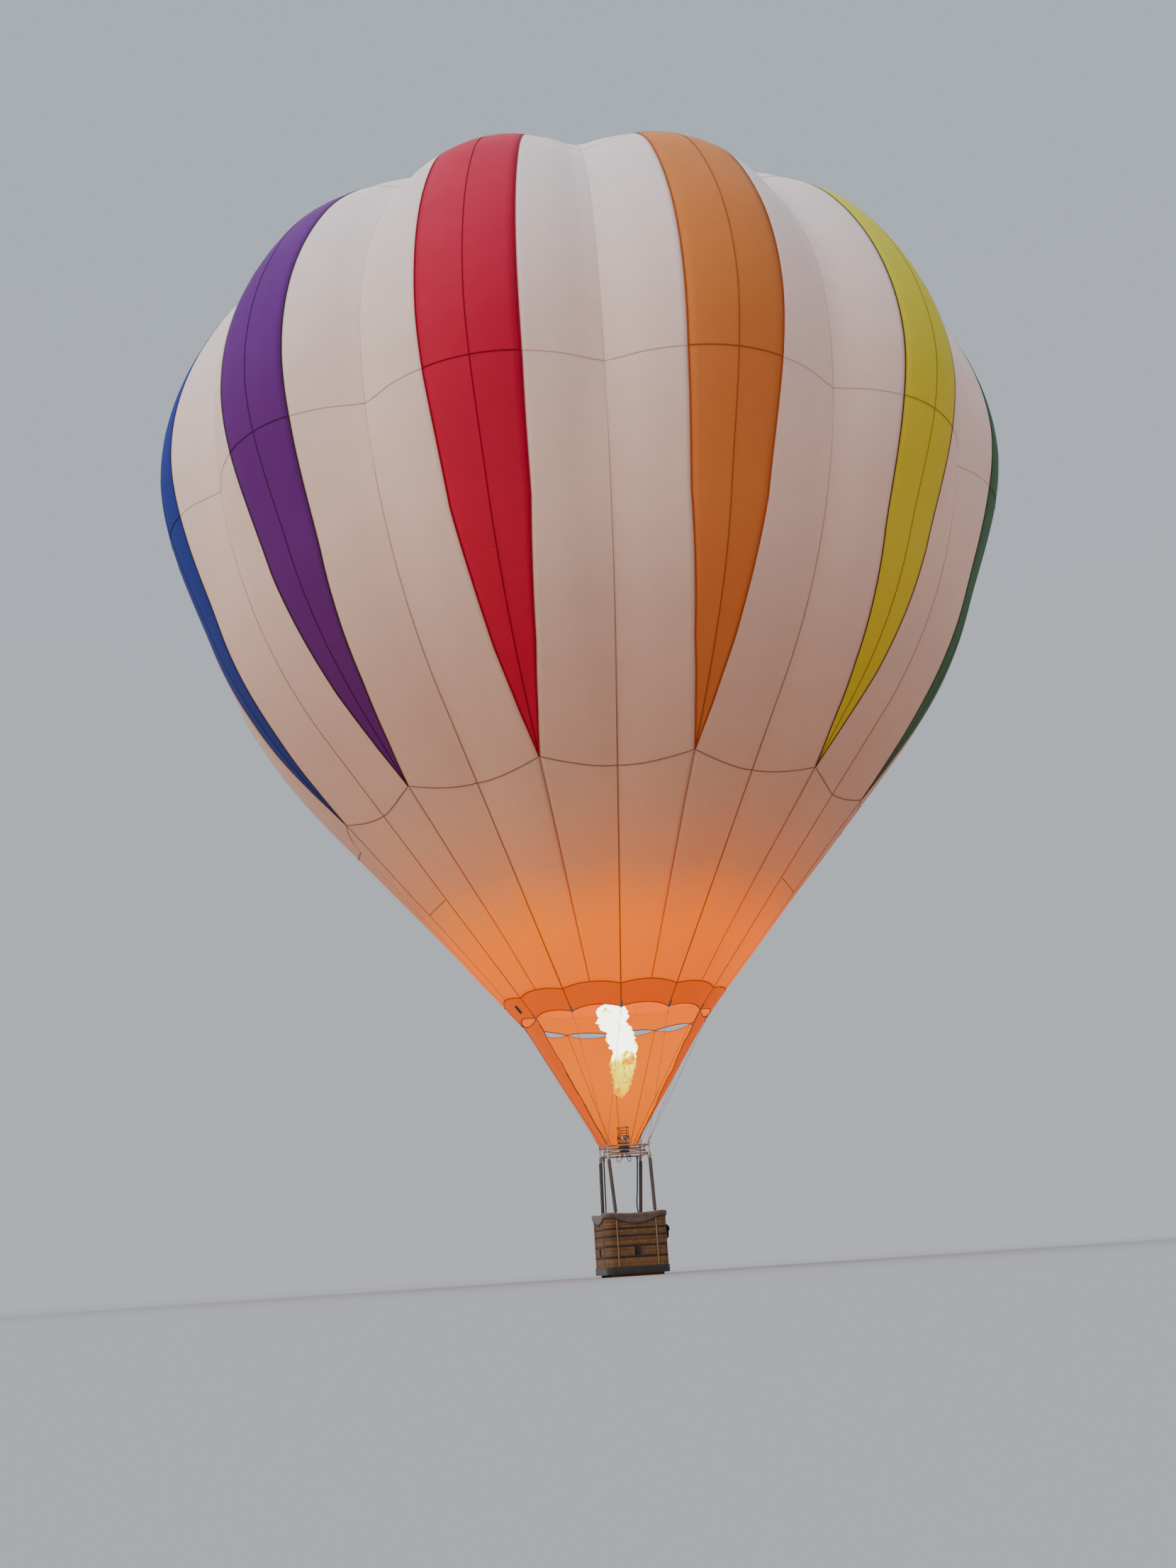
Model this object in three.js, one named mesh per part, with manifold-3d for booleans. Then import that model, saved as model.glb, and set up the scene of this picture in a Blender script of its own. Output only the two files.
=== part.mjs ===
// Hot air balloon, millimetres, +Z up, viewer on the -Y side, origin at the envelope's centre of lift
import * as THREE from 'three';
import { mergeVertices } from 'three/addons/utils/BufferGeometryUtils.js';
import Module from 'manifold-3d';

const wasm = await Module();
wasm.setup();

// Heights below are above the underside of the basket, and the whole balloon is lowered by this
const LIFT_CENTRE_HEIGHT = 14000;
const FACE_GAP = 0.3;

// Envelope: twelve gores on a cone, a lower ellipse and an upper ellipse
const GORES = 12;
const GORE_STEP = (2 * Math.PI) / GORES;
const GORE_PHASE = -0.139;
const EQUATOR_RADIUS = 7763;
const EQUATOR_HEIGHT = 15101;
const CROWN_RISE = 6428;
const LOWER_DROP = 8494;
const MOUTH_RADIUS = 1511;
const MOUTH_HEIGHT = 4308;
const VENT_RADIUS = 1700;
const SKIN = 10;
// Place along the envelope: 0 to 1 cone, 1 to 2 lower ellipse, 2 to 3 upper ellipse
const LIP_PLACE = 0.05;
const LIP_SCALLOP = 0.02;
const BAND_TOP_PLACE = 0.122;
const BAND_TOP_SCALLOP = 0.021;
const TIP_PLACE = 0.814;
const CROWN_PLACE = 3;
const PANEL_ROWS = [0.47, 0.814, 0.826, 1, 1.2, 1.4, 1.6, 1.8, 2, 2.17, 2.34, 2.5, 2.66, 2.82, CROWN_PLACE];
// Bulge of a gore: place, half angle of its arc
const BULGE = [[0, 0.27], [1, 0.421], [1.5, 0.497], [2, 0.839], [2.35, 0.767], [2.7, 0.496], [3, 0.281]];
// Colour panel: place, half width as a share of the half gore
const COLOUR_WIDTH = [[0.814, 0], [0.94, 0.1], [1.12, 0.21], [1.31, 0.28], [1.48, 0.34], [1.8, 0.375], [3, 0.4]];
const GORE_COLOURS = [
  ['orange', 0xb9562a],
  ['yellow', 0xbba31f],
  ['green', 0x336540],
  ['blue', 0x1b2a78],
  ['purple', 0x5a2678],
  ['red', 0xb41e2d],
];

// Crown: straps across the vent, and the parachute valve under them
const CROWN_RING_RADIUS = 70;
const CROWN_STRAP_WIDTH = 44;
const CROWN_STRAP_THICKNESS = 8;
const CROWN_DOME = 250;
const VALVE_RADIUS = 2050;
const VALVE_CLEARANCE = 8;

// Burner frame
const FRAME_HALF = 380;
const FRAME_TUBE = 16;
const FRAME_LOW = 2115;
const FRAME_TOP = 2265;
const PIVOT_HEIGHT = 2190;
const GIMBAL_RADIUS = 300;
const GIMBAL_TUBE = 11;
const PIVOT_GAP = 0.6;

// Scoop: cloth from cusp 2 round the back to cusp -2, its foot along the frame's back and left rails
const SCOOP_FIRST_CUSP = 2;
const SCOOP_LAST_CUSP = 10;
const SCOOP_SAG = 70;
const SCOOP_BILLOW = 25;
const SCOOP_ROWS = [0, 0.25, 0.5, 0.75, 1];
const SCOOP_CORNER = 80;
const SCOOP_RAIL_RUN = 630;
// Scoop foot: cusp, distance along the rails from the far right corner
const SCOOP_FOOT = [[2, 24], [5, 140], [7, 480], [8, 704], [9, 960], [10, 1373]];

// Basket
const BASKET_X = 565;
const BASKET_Y = 625;
const BASKET_CORNER = 130;
const WALL = 30;
const RUNNER_HEIGHT = 40;
const FLOOR_THICKNESS = 20;
const WALL_TOP = 1015;
const RIM_RADIUS = 42;
const RIM_DIP = 25;
const APRON_DIP = 90;
const APRON_THICKNESS = 9;
const SCUFF_TOP = 170;
const SCUFF_THICKNESS = 9;
const TANK_RADIUS = 150;
const TANK_HEIGHT = 850;

const balloon = new THREE.Group();
balloon.position.z = -LIFT_CENTRE_HEIGHT;

function finish(colour, roughness, metalness = 0) {
  return new THREE.MeshStandardMaterial({ color: colour, roughness, metalness });
}

const WHITE_CLOTH = 0xd8cbc4;
const BAND_CLOTH = 0xe5641c;
const WICKER = 0x6b3d22;
const HIDE = 0x33241f;
const STEEL = 0xb9b4b0;

function add(name, geometry, material, parent = balloon) {
  const mesh = new THREE.Mesh(geometry, material);
  mesh.name = name;
  parent.add(mesh);
  return mesh;
}

function point(x, y, z) {
  return new THREE.Vector3(x, y, z);
}

// A closed body from lists of points and triangles, turned outwards
function body(points, triangles) {
  let volume = 0;
  for (const [a, b, c] of triangles) {
    volume += points[a].dot(points[b].clone().cross(points[c]));
  }
  const index = [];
  for (const [a, b, c] of triangles) {
    index.push(...(volume > 0 ? [a, b, c] : [a, c, b]));
  }
  const geometry = new THREE.BufferGeometry();
  geometry.setAttribute('position', new THREE.Float32BufferAttribute(points.flatMap((p) => p.toArray()), 3));
  geometry.setIndex(index);
  return geometry;
}

// A shell between two grids of points, rows by columns; wrap closes the columns into a ring
function shell(outer, inner, wrap = false) {
  const rows = outer.length;
  const columns = outer[0].length;
  const points = [...outer.flat(), ...inner.flat()];
  const at = (side, i, j) => side * rows * columns + i * columns + (j % columns);
  const triangles = [];
  const quad = (a, b, c, d) => triangles.push([a, b, c], [a, c, d]);
  const last = wrap ? columns : columns - 1;
  for (let j = 0; j < last; j++) {
    for (let i = 0; i < rows - 1; i++) {
      quad(at(0, i, j), at(0, i, j + 1), at(0, i + 1, j + 1), at(0, i + 1, j));
      triangles.push([at(1, i, j), at(1, i + 1, j + 1), at(1, i, j + 1)]);
      triangles.push([at(1, i, j), at(1, i + 1, j), at(1, i + 1, j + 1)]);
    }
    // Edge faces are split the same way on both sides of a joint, so neighbours stay clear
    triangles.push([at(0, 0, j + 1), at(0, 0, j), at(1, 0, j + 1)]);
    triangles.push([at(0, 0, j), at(1, 0, j), at(1, 0, j + 1)]);
    quad(at(0, rows - 1, j), at(0, rows - 1, j + 1), at(1, rows - 1, j + 1), at(1, rows - 1, j));
  }
  if (!wrap) {
    for (let i = 0; i < rows - 1; i++) {
      quad(at(0, i, 0), at(0, i + 1, 0), at(1, i + 1, 0), at(1, i, 0));
      triangles.push([at(0, i + 1, last), at(0, i, last), at(1, i + 1, last)]);
      triangles.push([at(0, i, last), at(1, i, last), at(1, i + 1, last)]);
    }
  }
  return body(points, triangles);
}

// A ring body: sections of equal point count, joined end to end and round
function ringBody(sections) {
  const count = sections[0].length;
  const at = (i, j) => (i % sections.length) * count + (j % count);
  const triangles = [];
  for (let i = 0; i < sections.length; i++) {
    for (let j = 0; j < count; j++) {
      triangles.push([at(i, j), at(i + 1, j), at(i + 1, j + 1)], [at(i, j), at(i + 1, j + 1), at(i, j + 1)]);
    }
  }
  return body(sections.flat(), triangles);
}

function toSolid(geometry) {
  const bare = geometry.clone();
  bare.deleteAttribute('normal');
  bare.deleteAttribute('uv');
  const merged = mergeVertices(bare, 1e-3);
  return new wasm.Manifold(
    new wasm.Mesh({
      numProp: 3,
      vertProperties: new Float32Array(merged.attributes.position.array),
      triVerts: new Uint32Array(merged.index.array),
    }),
  );
}

function toGeometry(solid) {
  const mesh = solid.getMesh();
  const geometry = new THREE.BufferGeometry();
  geometry.setAttribute('position', new THREE.BufferAttribute(new Float32Array(mesh.vertProperties), 3));
  geometry.setIndex(new THREE.BufferAttribute(new Uint32Array(mesh.triVerts), 1));
  return geometry;
}

function join(geometries) {
  return toGeometry(geometries.map(toSolid).reduce((whole, piece) => whole.add(piece)));
}

function cut(geometry, tools) {
  return toGeometry(tools.map(toSolid).reduce((whole, tool) => whole.subtract(tool), toSolid(geometry)));
}

// A straight rod between two points
function rod(from, to, radius, sides = 10, endRadius = radius) {
  const along = to.clone().sub(from);
  const geometry = new THREE.CylinderGeometry(endRadius, radius, along.length(), sides);
  geometry.applyQuaternion(new THREE.Quaternion().setFromUnitVectors(point(0, 1, 0), along.clone().normalize()));
  const middle = from.clone().add(to).multiplyScalar(0.5);
  return geometry.translate(middle.x, middle.y, middle.z);
}

function ball(centre, radius) {
  return new THREE.SphereGeometry(radius, 8, 4).rotateX(Math.PI / 2).translate(centre.x, centre.y, centre.z);
}

function block(width, depth, height, x, y, z) {
  return new THREE.BoxGeometry(width, depth, height).translate(x, y, z);
}

// A tube along a curve through points
function tube(points, radius, sides, steps) {
  const section = new THREE.Shape();
  for (let i = 0; i < sides; i++) {
    const angle = (i / sides) * 2 * Math.PI;
    section[i ? 'lineTo' : 'moveTo'](radius * Math.cos(angle), radius * Math.sin(angle));
  }
  section.closePath();
  const path = new THREE.CatmullRomCurve3(points, false, 'centripetal');
  return new THREE.ExtrudeGeometry(section, { steps, extrudePath: path, bevelEnabled: false });
}

function readTable(table, place) {
  const last = table[table.length - 1];
  if (place >= last[0]) {
    return last[1];
  }
  const next = Math.max(1, table.findIndex((row) => row[0] > place));
  const [a, from] = table[next - 1];
  const [b, to] = table[next];
  const share = Math.max(0, (place - a) / (b - a));
  return { share, from, to };
}

// Smooth between rows, level at each row
function smoothTable(table, place) {
  const row = readTable(table, place);
  if (typeof row === 'number') {
    return row;
  }
  const eased = row.share * row.share * (3 - 2 * row.share);
  return row.from + (row.to - row.from) * eased;
}

function straightTable(table, place) {
  const row = readTable(table, place);
  return typeof row === 'number' ? row : row.from + (row.to - row.from) * row.share;
}

// The ellipse angle at which the cone from the mouth runs on into the lower ellipse
function tangentAngle() {
  const reach = (t) => {
    const drop = EQUATOR_HEIGHT - LOWER_DROP * Math.sin(t) - MOUTH_HEIGHT;
    return EQUATOR_RADIUS * Math.cos(t) - drop * (EQUATOR_RADIUS / LOWER_DROP) * Math.tan(t);
  };
  let low = 0.2;
  let high = 1.4;
  for (let i = 0; i < 60; i++) {
    const middle = (low + high) / 2;
    if (reach(middle) > MOUTH_RADIUS) {
      low = middle;
    } else {
      high = middle;
    }
  }
  return low;
}

const CONE_ANGLE = tangentAngle();
const CONE_TOP_RADIUS = EQUATOR_RADIUS * Math.cos(CONE_ANGLE);
const CONE_TOP_HEIGHT = EQUATOR_HEIGHT - LOWER_DROP * Math.sin(CONE_ANGLE);
const CROWN_ANGLE = Math.acos(VENT_RADIUS / EQUATOR_RADIUS);

// Radius and height of a load tape at a place
function tape(place) {
  if (place <= 1) {
    return [
      MOUTH_RADIUS + (CONE_TOP_RADIUS - MOUTH_RADIUS) * place,
      MOUTH_HEIGHT + (CONE_TOP_HEIGHT - MOUTH_HEIGHT) * place,
    ];
  }
  if (place <= 2) {
    const angle = CONE_ANGLE * (2 - place);
    return [EQUATOR_RADIUS * Math.cos(angle), EQUATOR_HEIGHT - LOWER_DROP * Math.sin(angle)];
  }
  const angle = CROWN_ANGLE * (place - 2);
  return [EQUATOR_RADIUS * Math.cos(angle), EQUATOR_HEIGHT + CROWN_RISE * Math.sin(angle)];
}

function tapeNormal(place) {
  const [r0, z0] = tape(place - 1e-3);
  const [r1, z1] = tape(place + 1e-3);
  const length = Math.hypot(r1 - r0, z1 - z0);
  return [(z1 - z0) / length, -(r1 - r0) / length];
}

// A point on gore number gore, at across -1 to 1 and a place, sunk below the outer face by depth
function skinPoint(gore, across, place, depth = 0) {
  const [r, z] = tape(place);
  const [nr, nz] = tapeNormal(place);
  const half = GORE_STEP / 2;
  const bulge = smoothTable(BULGE, place);
  const arc = (r * Math.sin(half)) / Math.sin(bulge);
  const lean = across * bulge;
  const side = arc * Math.sin(lean);
  const rise = arc * (Math.cos(lean) - Math.cos(bulge));
  // At a load tape the two gores meet, and the wall points straight out
  const tilt = Math.abs(across) > 0.999 ? -Math.sign(across) * half : lean;
  const out = r * Math.cos(half) + nr * rise - depth * nr * Math.cos(tilt);
  const height = z + nz * rise - depth * nz * Math.cos(tilt);
  const shift = side - depth * (Math.abs(across) > 0.999 ? Math.sign(across) * nr * Math.sin(half) : Math.sin(lean));
  const angle = GORE_PHASE + (gore + 0.5) * GORE_STEP;
  return point(
    out * Math.sin(angle) + shift * Math.cos(angle),
    -out * Math.cos(angle) + shift * Math.sin(angle),
    height,
  );
}

// The share of a half gore that a distance along it makes at a place
function acrossShare(distance, place) {
  const bulge = smoothTable(BULGE, place);
  const arc = (tape(place)[0] * Math.sin(GORE_STEP / 2)) / Math.sin(bulge);
  return distance / (arc * bulge);
}

const CONE_LENGTH = Math.hypot(CONE_TOP_RADIUS - MOUTH_RADIUS, CONE_TOP_HEIGHT - MOUTH_HEIGHT);
const PLACE_GAP = FACE_GAP / CONE_LENGTH;

function lipPlace(across) {
  return LIP_PLACE + LIP_SCALLOP * (1 - across * across);
}

function bandTopPlace(across) {
  return BAND_TOP_PLACE + BAND_TOP_SCALLOP * (1 - across * across);
}

// Two grids of points, one for each face of the cloth, from rows of [gore, across, place]
function clothGrids(rows) {
  const face = (depth) => rows.map((row) => row.map(([gore, across, place]) => skinPoint(gore, across, place, depth)));
  return [face(0), face(SKIN)];
}

// White panel: both halves beside one load tape, from the mouth band to the crown
function whitePanel(cusp) {
  const rows = [];
  const edge = (place) => {
    const width = place < TIP_PLACE + 0.01 ? 0 : straightTable(COLOUR_WIDTH, place);
    return width + acrossShare(FACE_GAP / 2, place);
  };
  const columns = (place) => {
    const from = edge(place);
    const middle = (from + 1) / 2;
    return [[-1, from], [-1, middle], [0, -1], [0, -middle], [0, -from]];
  };
  const base = columns(BAND_TOP_PLACE).map(([side, across]) => {
    return [cusp + side, across, bandTopPlace(across) + PLACE_GAP];
  });
  rows.push(base);
  for (const place of PANEL_ROWS) {
    rows.push(columns(place).map(([side, across]) => [cusp + side, across, place]));
  }
  return shell(...clothGrids(rows));
}

// Colour panel: the tapering middle of one gore
function colourPanel(gore) {
  const rows = [];
  for (const place of PANEL_ROWS) {
    if (place > TIP_PLACE + 0.01) {
      const width = straightTable(COLOUR_WIDTH, place) - acrossShare(FACE_GAP / 2, place);
      rows.push([[gore, -width, place], [gore, 0, place], [gore, width, place]]);
    }
  }
  return shell(...clothGrids(rows));
}

for (let cusp = 0; cusp < GORES; cusp++) {
  add(`panel_white_${String(cusp).padStart(2, '0')}`, whitePanel(cusp), finish(WHITE_CLOTH, 0.75));
}
for (let gore = 0; gore < GORES; gore++) {
  const [colour, code] = GORE_COLOURS[gore % GORE_COLOURS.length];
  const side = gore < GORE_COLOURS.length ? 'a' : 'b';
  add(`panel_${colour}_${side}`, colourPanel(gore), finish(code, 0.7));
}

// Mouth band: a ring of flame-proof cloth with a scalloped lip
function mouthBand() {
  const low = [];
  const high = [];
  for (let gore = 0; gore < GORES; gore++) {
    for (const across of [-1, -0.5, 0, 0.5]) {
      low.push([gore, across, lipPlace(across)]);
      high.push([gore, across, bandTopPlace(across)]);
    }
  }
  return shell(...clothGrids([low, high]), true);
}
add('mouth_band', mouthBand(), finish(BAND_CLOTH, 0.8));

function cuspPoint(cusp, depth = 0, place = LIP_PLACE) {
  return skinPoint(cusp, -1, place, depth);
}

// Foot of the scoop: along the back rail, across the far left corner, along the left rail
function scoopFoot(cusp) {
  const along = straightTable(SCOOP_FOOT, cusp);
  const height = FRAME_TOP + FRAME_TUBE + FACE_GAP;
  const start = SCOOP_RAIL_RUN - (FRAME_HALF - SCOOP_CORNER);
  const across = SCOOP_CORNER * Math.SQRT2;
  if (along <= SCOOP_RAIL_RUN) {
    return point(start - along, FRAME_HALF, height);
  }
  const turned = Math.min(1, (along - SCOOP_RAIL_RUN) / across) * SCOOP_CORNER;
  const past = Math.max(0, along - SCOOP_RAIL_RUN - across);
  return point(SCOOP_CORNER - FRAME_HALF - turned, FRAME_HALF - turned - past, height);
}

// Scoop: cloth from the lip at the cusps down to the burner frame, open at the front
function scoop() {
  const columns = [];
  for (let cusp = SCOOP_FIRST_CUSP; cusp <= SCOOP_LAST_CUSP; cusp += 0.5) {
    columns.push(cusp);
  }
  const spot = (cusp, share, depth) => {
    const angle = GORE_PHASE + cusp * GORE_STEP;
    const whole = Number.isInteger(cusp);
    const lip = cuspPoint(Math.floor(cusp), 0, LIP_PLACE - 2 * PLACE_GAP);
    const reach = Math.hypot(lip.x, lip.y) * (whole ? 1 : Math.cos(GORE_STEP / 2));
    const top = point(reach * Math.sin(angle), -reach * Math.cos(angle), lip.z - (whole ? 0 : SCOOP_SAG));
    const place = scoopFoot(cusp).lerp(top, share);
    const billow = whole ? 0 : SCOOP_BILLOW * Math.sin(Math.PI * share);
    const outward = 1 + (billow - depth) / Math.hypot(place.x, place.y);
    return place.multiply(point(outward, outward, 1));
  };
  const grid = (depth) => SCOOP_ROWS.map((share) => columns.map((cusp) => spot(cusp, share, depth)));
  return shell(grid(0), grid(SKIN));
}
add('scoop', scoop(), finish(BAND_CLOTH, 0.8));

// Crown straps: twelve across the vent, joined by a ring at the middle
const [, VENT_HEIGHT] = tape(CROWN_PLACE);
const CROWN_RING_HEIGHT = VENT_HEIGHT + CROWN_DOME;
function crownStraps() {
  const pieces = [];
  const ring = new THREE.LatheGeometry(
    [
      new THREE.Vector2(CROWN_RING_RADIUS - 20, -12),
      new THREE.Vector2(CROWN_RING_RADIUS, -12),
      new THREE.Vector2(CROWN_RING_RADIUS, 6),
      new THREE.Vector2(CROWN_RING_RADIUS - 20, 6),
      new THREE.Vector2(CROWN_RING_RADIUS - 20, -12),
    ],
    24,
  );
  ring.rotateX(Math.PI / 2).translate(0, 0, CROWN_RING_HEIGHT);
  pieces.push(ring);
  const inner = CROWN_RING_RADIUS - 8;
  const outer = VENT_RADIUS - 2 * FACE_GAP;
  const slope = Math.atan2(CROWN_DOME, outer - inner);
  const length = Math.hypot(CROWN_DOME, outer - inner);
  const half = CROWN_STRAP_WIDTH / 2;
  // The outer end is pointed, as the gores' ends lean back from the load tape
  const shoulder = length - half * Math.tan(1.2 * GORE_STEP / 2);
  const outline = new THREE.Shape([
    new THREE.Vector2(-half, 0),
    new THREE.Vector2(-half, -shoulder),
    new THREE.Vector2(0, -length),
    new THREE.Vector2(half, -shoulder),
    new THREE.Vector2(half, 0),
  ]);
  for (let cusp = 0; cusp < GORES; cusp++) {
    const strap = new THREE.ExtrudeGeometry(outline, { depth: CROWN_STRAP_THICKNESS, bevelEnabled: false });
    strap.translate(0, 0, -CROWN_STRAP_THICKNESS).rotateX(slope);
    strap.translate(0, -inner, CROWN_RING_HEIGHT);
    strap.rotateZ(GORE_PHASE + cusp * GORE_STEP);
    pieces.push(strap);
  }
  return join(pieces);
}
add('crown_straps', crownStraps(), finish(0xd9d2c6, 0.8));

// Parachute valve: a shallow dome under the vent, with a boss that meets the crown ring
function parachuteValve() {
  const under = CROWN_RING_HEIGHT - CROWN_STRAP_THICKNESS - VALVE_CLEARANCE - 12;
  const edge = VENT_HEIGHT - SKIN - VALVE_CLEARANCE;
  const [shoulderRadius, shoulderHeight] = tape(PANEL_ROWS[PANEL_ROWS.length - 2]);
  const fall = (VENT_HEIGHT - shoulderHeight) / (shoulderRadius - VENT_RADIUS);
  const rimDrop = fall * (VALVE_RADIUS - VENT_RADIUS);
  const profile = [
    [0, under - SKIN],
    [VENT_RADIUS, edge - SKIN - 4],
    [VALVE_RADIUS, edge - rimDrop - SKIN],
    [VALVE_RADIUS, edge - rimDrop],
    [VENT_RADIUS, edge - 4],
    [CROWN_RING_RADIUS - 12, under - 8],
    [CROWN_RING_RADIUS - 12, CROWN_RING_HEIGHT - 12 - FACE_GAP],
    [0, CROWN_RING_HEIGHT - 12 - FACE_GAP],
  ];
  const lathe = new THREE.LatheGeometry(profile.map(([r, z]) => new THREE.Vector2(r, z)), 2 * GORES);
  return lathe.rotateX(Math.PI / 2).rotateZ(GORE_PHASE);
}
add('parachute_valve', parachuteValve(), finish(WHITE_CLOTH, 0.75));

// Burner frame: two square rails, corner posts, side posts with pivot pins and sockets for the uprights
const CORNERS = [[-1, -1], [1, -1], [1, 1], [-1, 1]];
const UPRIGHT_FOOT_X = 355;
const UPRIGHT_FOOT_Y = BASKET_Y - WALL / 2;
const UPRIGHT_FOOT_HEIGHT = WALL_TOP + RIM_RADIUS;
const SOCKET_LENGTH = 70;

function uprightEnds([sx, sy]) {
  const top = point(sx * FRAME_HALF, sy * FRAME_HALF, FRAME_LOW);
  const foot = point(sx * UPRIGHT_FOOT_X, sy * UPRIGHT_FOOT_Y, UPRIGHT_FOOT_HEIGHT);
  const along = foot.clone().sub(top).normalize();
  return { top, foot, along };
}

function burnerFrame() {
  const pieces = [];
  for (const height of [FRAME_LOW, FRAME_TOP]) {
    CORNERS.forEach(([sx, sy], i) => {
      const [nx, ny] = CORNERS[(i + 1) % CORNERS.length];
      const from = point(sx * FRAME_HALF, sy * FRAME_HALF, height);
      pieces.push(rod(from, point(nx * FRAME_HALF, ny * FRAME_HALF, height), FRAME_TUBE, 8));
      pieces.push(ball(from, FRAME_TUBE + 6));
    });
  }
  for (const corner of CORNERS) {
    const { top, along } = uprightEnds(corner);
    pieces.push(rod(top, point(top.x, top.y, FRAME_TOP), FRAME_TUBE - 3));
    pieces.push(rod(top, top.clone().addScaledVector(along, SOCKET_LENGTH), FRAME_TUBE + 8));
  }
  for (const side of [-1, 1]) {
    const x = side * FRAME_HALF;
    pieces.push(rod(point(x, 0, FRAME_LOW), point(x, 0, FRAME_TOP), FRAME_TUBE - 4));
    const pinEnd = side * (GIMBAL_RADIUS + 60);
    pieces.push(rod(point(x, 0, PIVOT_HEIGHT), point(pinEnd, 0, PIVOT_HEIGHT), 14));
  }
  return join(pieces);
}
add('burner_frame', burnerFrame(), finish(STEEL, 0.35, 0.8));

// Gimbal ring: turns about X on the frame's pins and carries the burner's pins along Y
const BURNER_BOSS_END = 200;
function gimbalRing() {
  const pieces = [new THREE.TorusGeometry(GIMBAL_RADIUS, GIMBAL_TUBE, 6, 28).translate(0, 0, PIVOT_HEIGHT)];
  for (const side of [-1, 1]) {
    const outer = side * (GIMBAL_RADIUS + 60 - PIVOT_GAP);
    pieces.push(rod(point(side * GIMBAL_RADIUS, 0, PIVOT_HEIGHT), point(outer, 0, PIVOT_HEIGHT), 18));
    const inner = side * (BURNER_BOSS_END + PIVOT_GAP);
    pieces.push(rod(point(0, side * GIMBAL_RADIUS, PIVOT_HEIGHT), point(0, inner, PIVOT_HEIGHT), 12));
  }
  return join(pieces);
}
add('gimbal_ring', gimbalRing(), finish(STEEL, 0.35, 0.8));

// Burner: valve block, skirt with air holes, coil and cage
const SKIRT_RADIUS = 118;
const SKIRT_LOW = 2312;
const SKIRT_TOP = 2437;
const SKIRT_WALL = 6;
const AIR_HOLES = 9;
const CAGE_TOP = 2617;
const BLOCK_HEIGHT = 150;
const COIL_RADIUS = 92;
const COIL_TUBE = 8;
const COIL_TURNS = 4;

function valveBlock() {
  const top = SKIRT_LOW - FACE_GAP;
  const low = top - BLOCK_HEIGHT;
  const pieces = [block(170, 120, BLOCK_HEIGHT, 0, 0, top - BLOCK_HEIGHT / 2)];
  for (const side of [-1, 1]) {
    const from = point(0, side * 55, PIVOT_HEIGHT);
    pieces.push(rod(from, point(0, side * BURNER_BOSS_END, PIVOT_HEIGHT), 17));
    const spindle = point(side * 50, -55, PIVOT_HEIGHT - 15);
    const elbow = point(side * 50, -95, PIVOT_HEIGHT - 15);
    pieces.push(rod(spindle, elbow, 13));
    pieces.push(rod(elbow, point(side * 62, -112, PIVOT_HEIGHT - 130), 10, 8));
    pieces.push(rod(point(side * 45, 30, low + 5), point(side * 45, 30, low - 35), 16));
  }
  return join(pieces);
}
add('valve_block', valveBlock(), finish(0x5d5650, 0.45, 0.7));

function burnerSkirt() {
  const inner = SKIRT_RADIUS - SKIRT_WALL;
  const profile = [
    [0, SKIRT_LOW],
    [SKIRT_RADIUS, SKIRT_LOW],
    [SKIRT_RADIUS, SKIRT_TOP],
    [inner, SKIRT_TOP],
    [inner, SKIRT_LOW + SKIRT_WALL],
    [0, SKIRT_LOW + SKIRT_WALL],
  ];
  const cup = new THREE.LatheGeometry(profile.map(([r, z]) => new THREE.Vector2(r, z)), 27).rotateX(Math.PI / 2);
  const holes = [];
  for (let i = 0; i < AIR_HOLES; i++) {
    const hole = new THREE.CylinderGeometry(27, 27, 60, 10).scale(1, 1, 1.35);
    hole.translate(0, -SKIRT_RADIUS, (SKIRT_LOW + SKIRT_TOP) / 2).rotateZ((i / AIR_HOLES) * 2 * Math.PI);
    holes.push(hole);
  }
  return cut(cup, holes);
}
add('burner_skirt', burnerSkirt(), finish(0x8d7a6a, 0.4, 0.8));

function burnerCage() {
  const foot = SKIRT_TOP + FACE_GAP;
  const middle = SKIRT_RADIUS - SKIRT_WALL / 2;
  const hoop = (height) => new THREE.TorusGeometry(middle, 7, 8, 20).translate(0, 0, height);
  const pieces = [hoop(foot + 7), hoop(CAGE_TOP - 7)];
  for (let i = 0; i < 4; i++) {
    const angle = ((i + 0.5) / 4) * 2 * Math.PI;
    const x = middle * Math.sin(angle);
    const y = -middle * Math.cos(angle);
    pieces.push(rod(point(x, y, foot + 7), point(x, y, CAGE_TOP - 7), 7, 8));
  }
  return join(pieces);
}
add('burner_cage', burnerCage(), finish(0x8d7a6a, 0.4, 0.8));

function burnerCoil() {
  const points = [];
  const low = SKIRT_TOP - 35;
  const high = CAGE_TOP - 25;
  const perTurn = 14;
  points.push(point(0, -COIL_RADIUS, SKIRT_LOW + SKIRT_WALL + FACE_GAP));
  for (let i = 0; i <= COIL_TURNS * perTurn; i++) {
    const angle = (i / perTurn) * 2 * Math.PI;
    const height = low + ((high - low) * i) / (COIL_TURNS * perTurn);
    points.push(point(COIL_RADIUS * Math.sin(angle), -COIL_RADIUS * Math.cos(angle), height));
  }
  return tube(points, COIL_TUBE, 6, COIL_TURNS * perTurn + 6);
}
add('burner_coil', burnerCoil(), finish(0xa89078, 0.35, 0.9));

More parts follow.
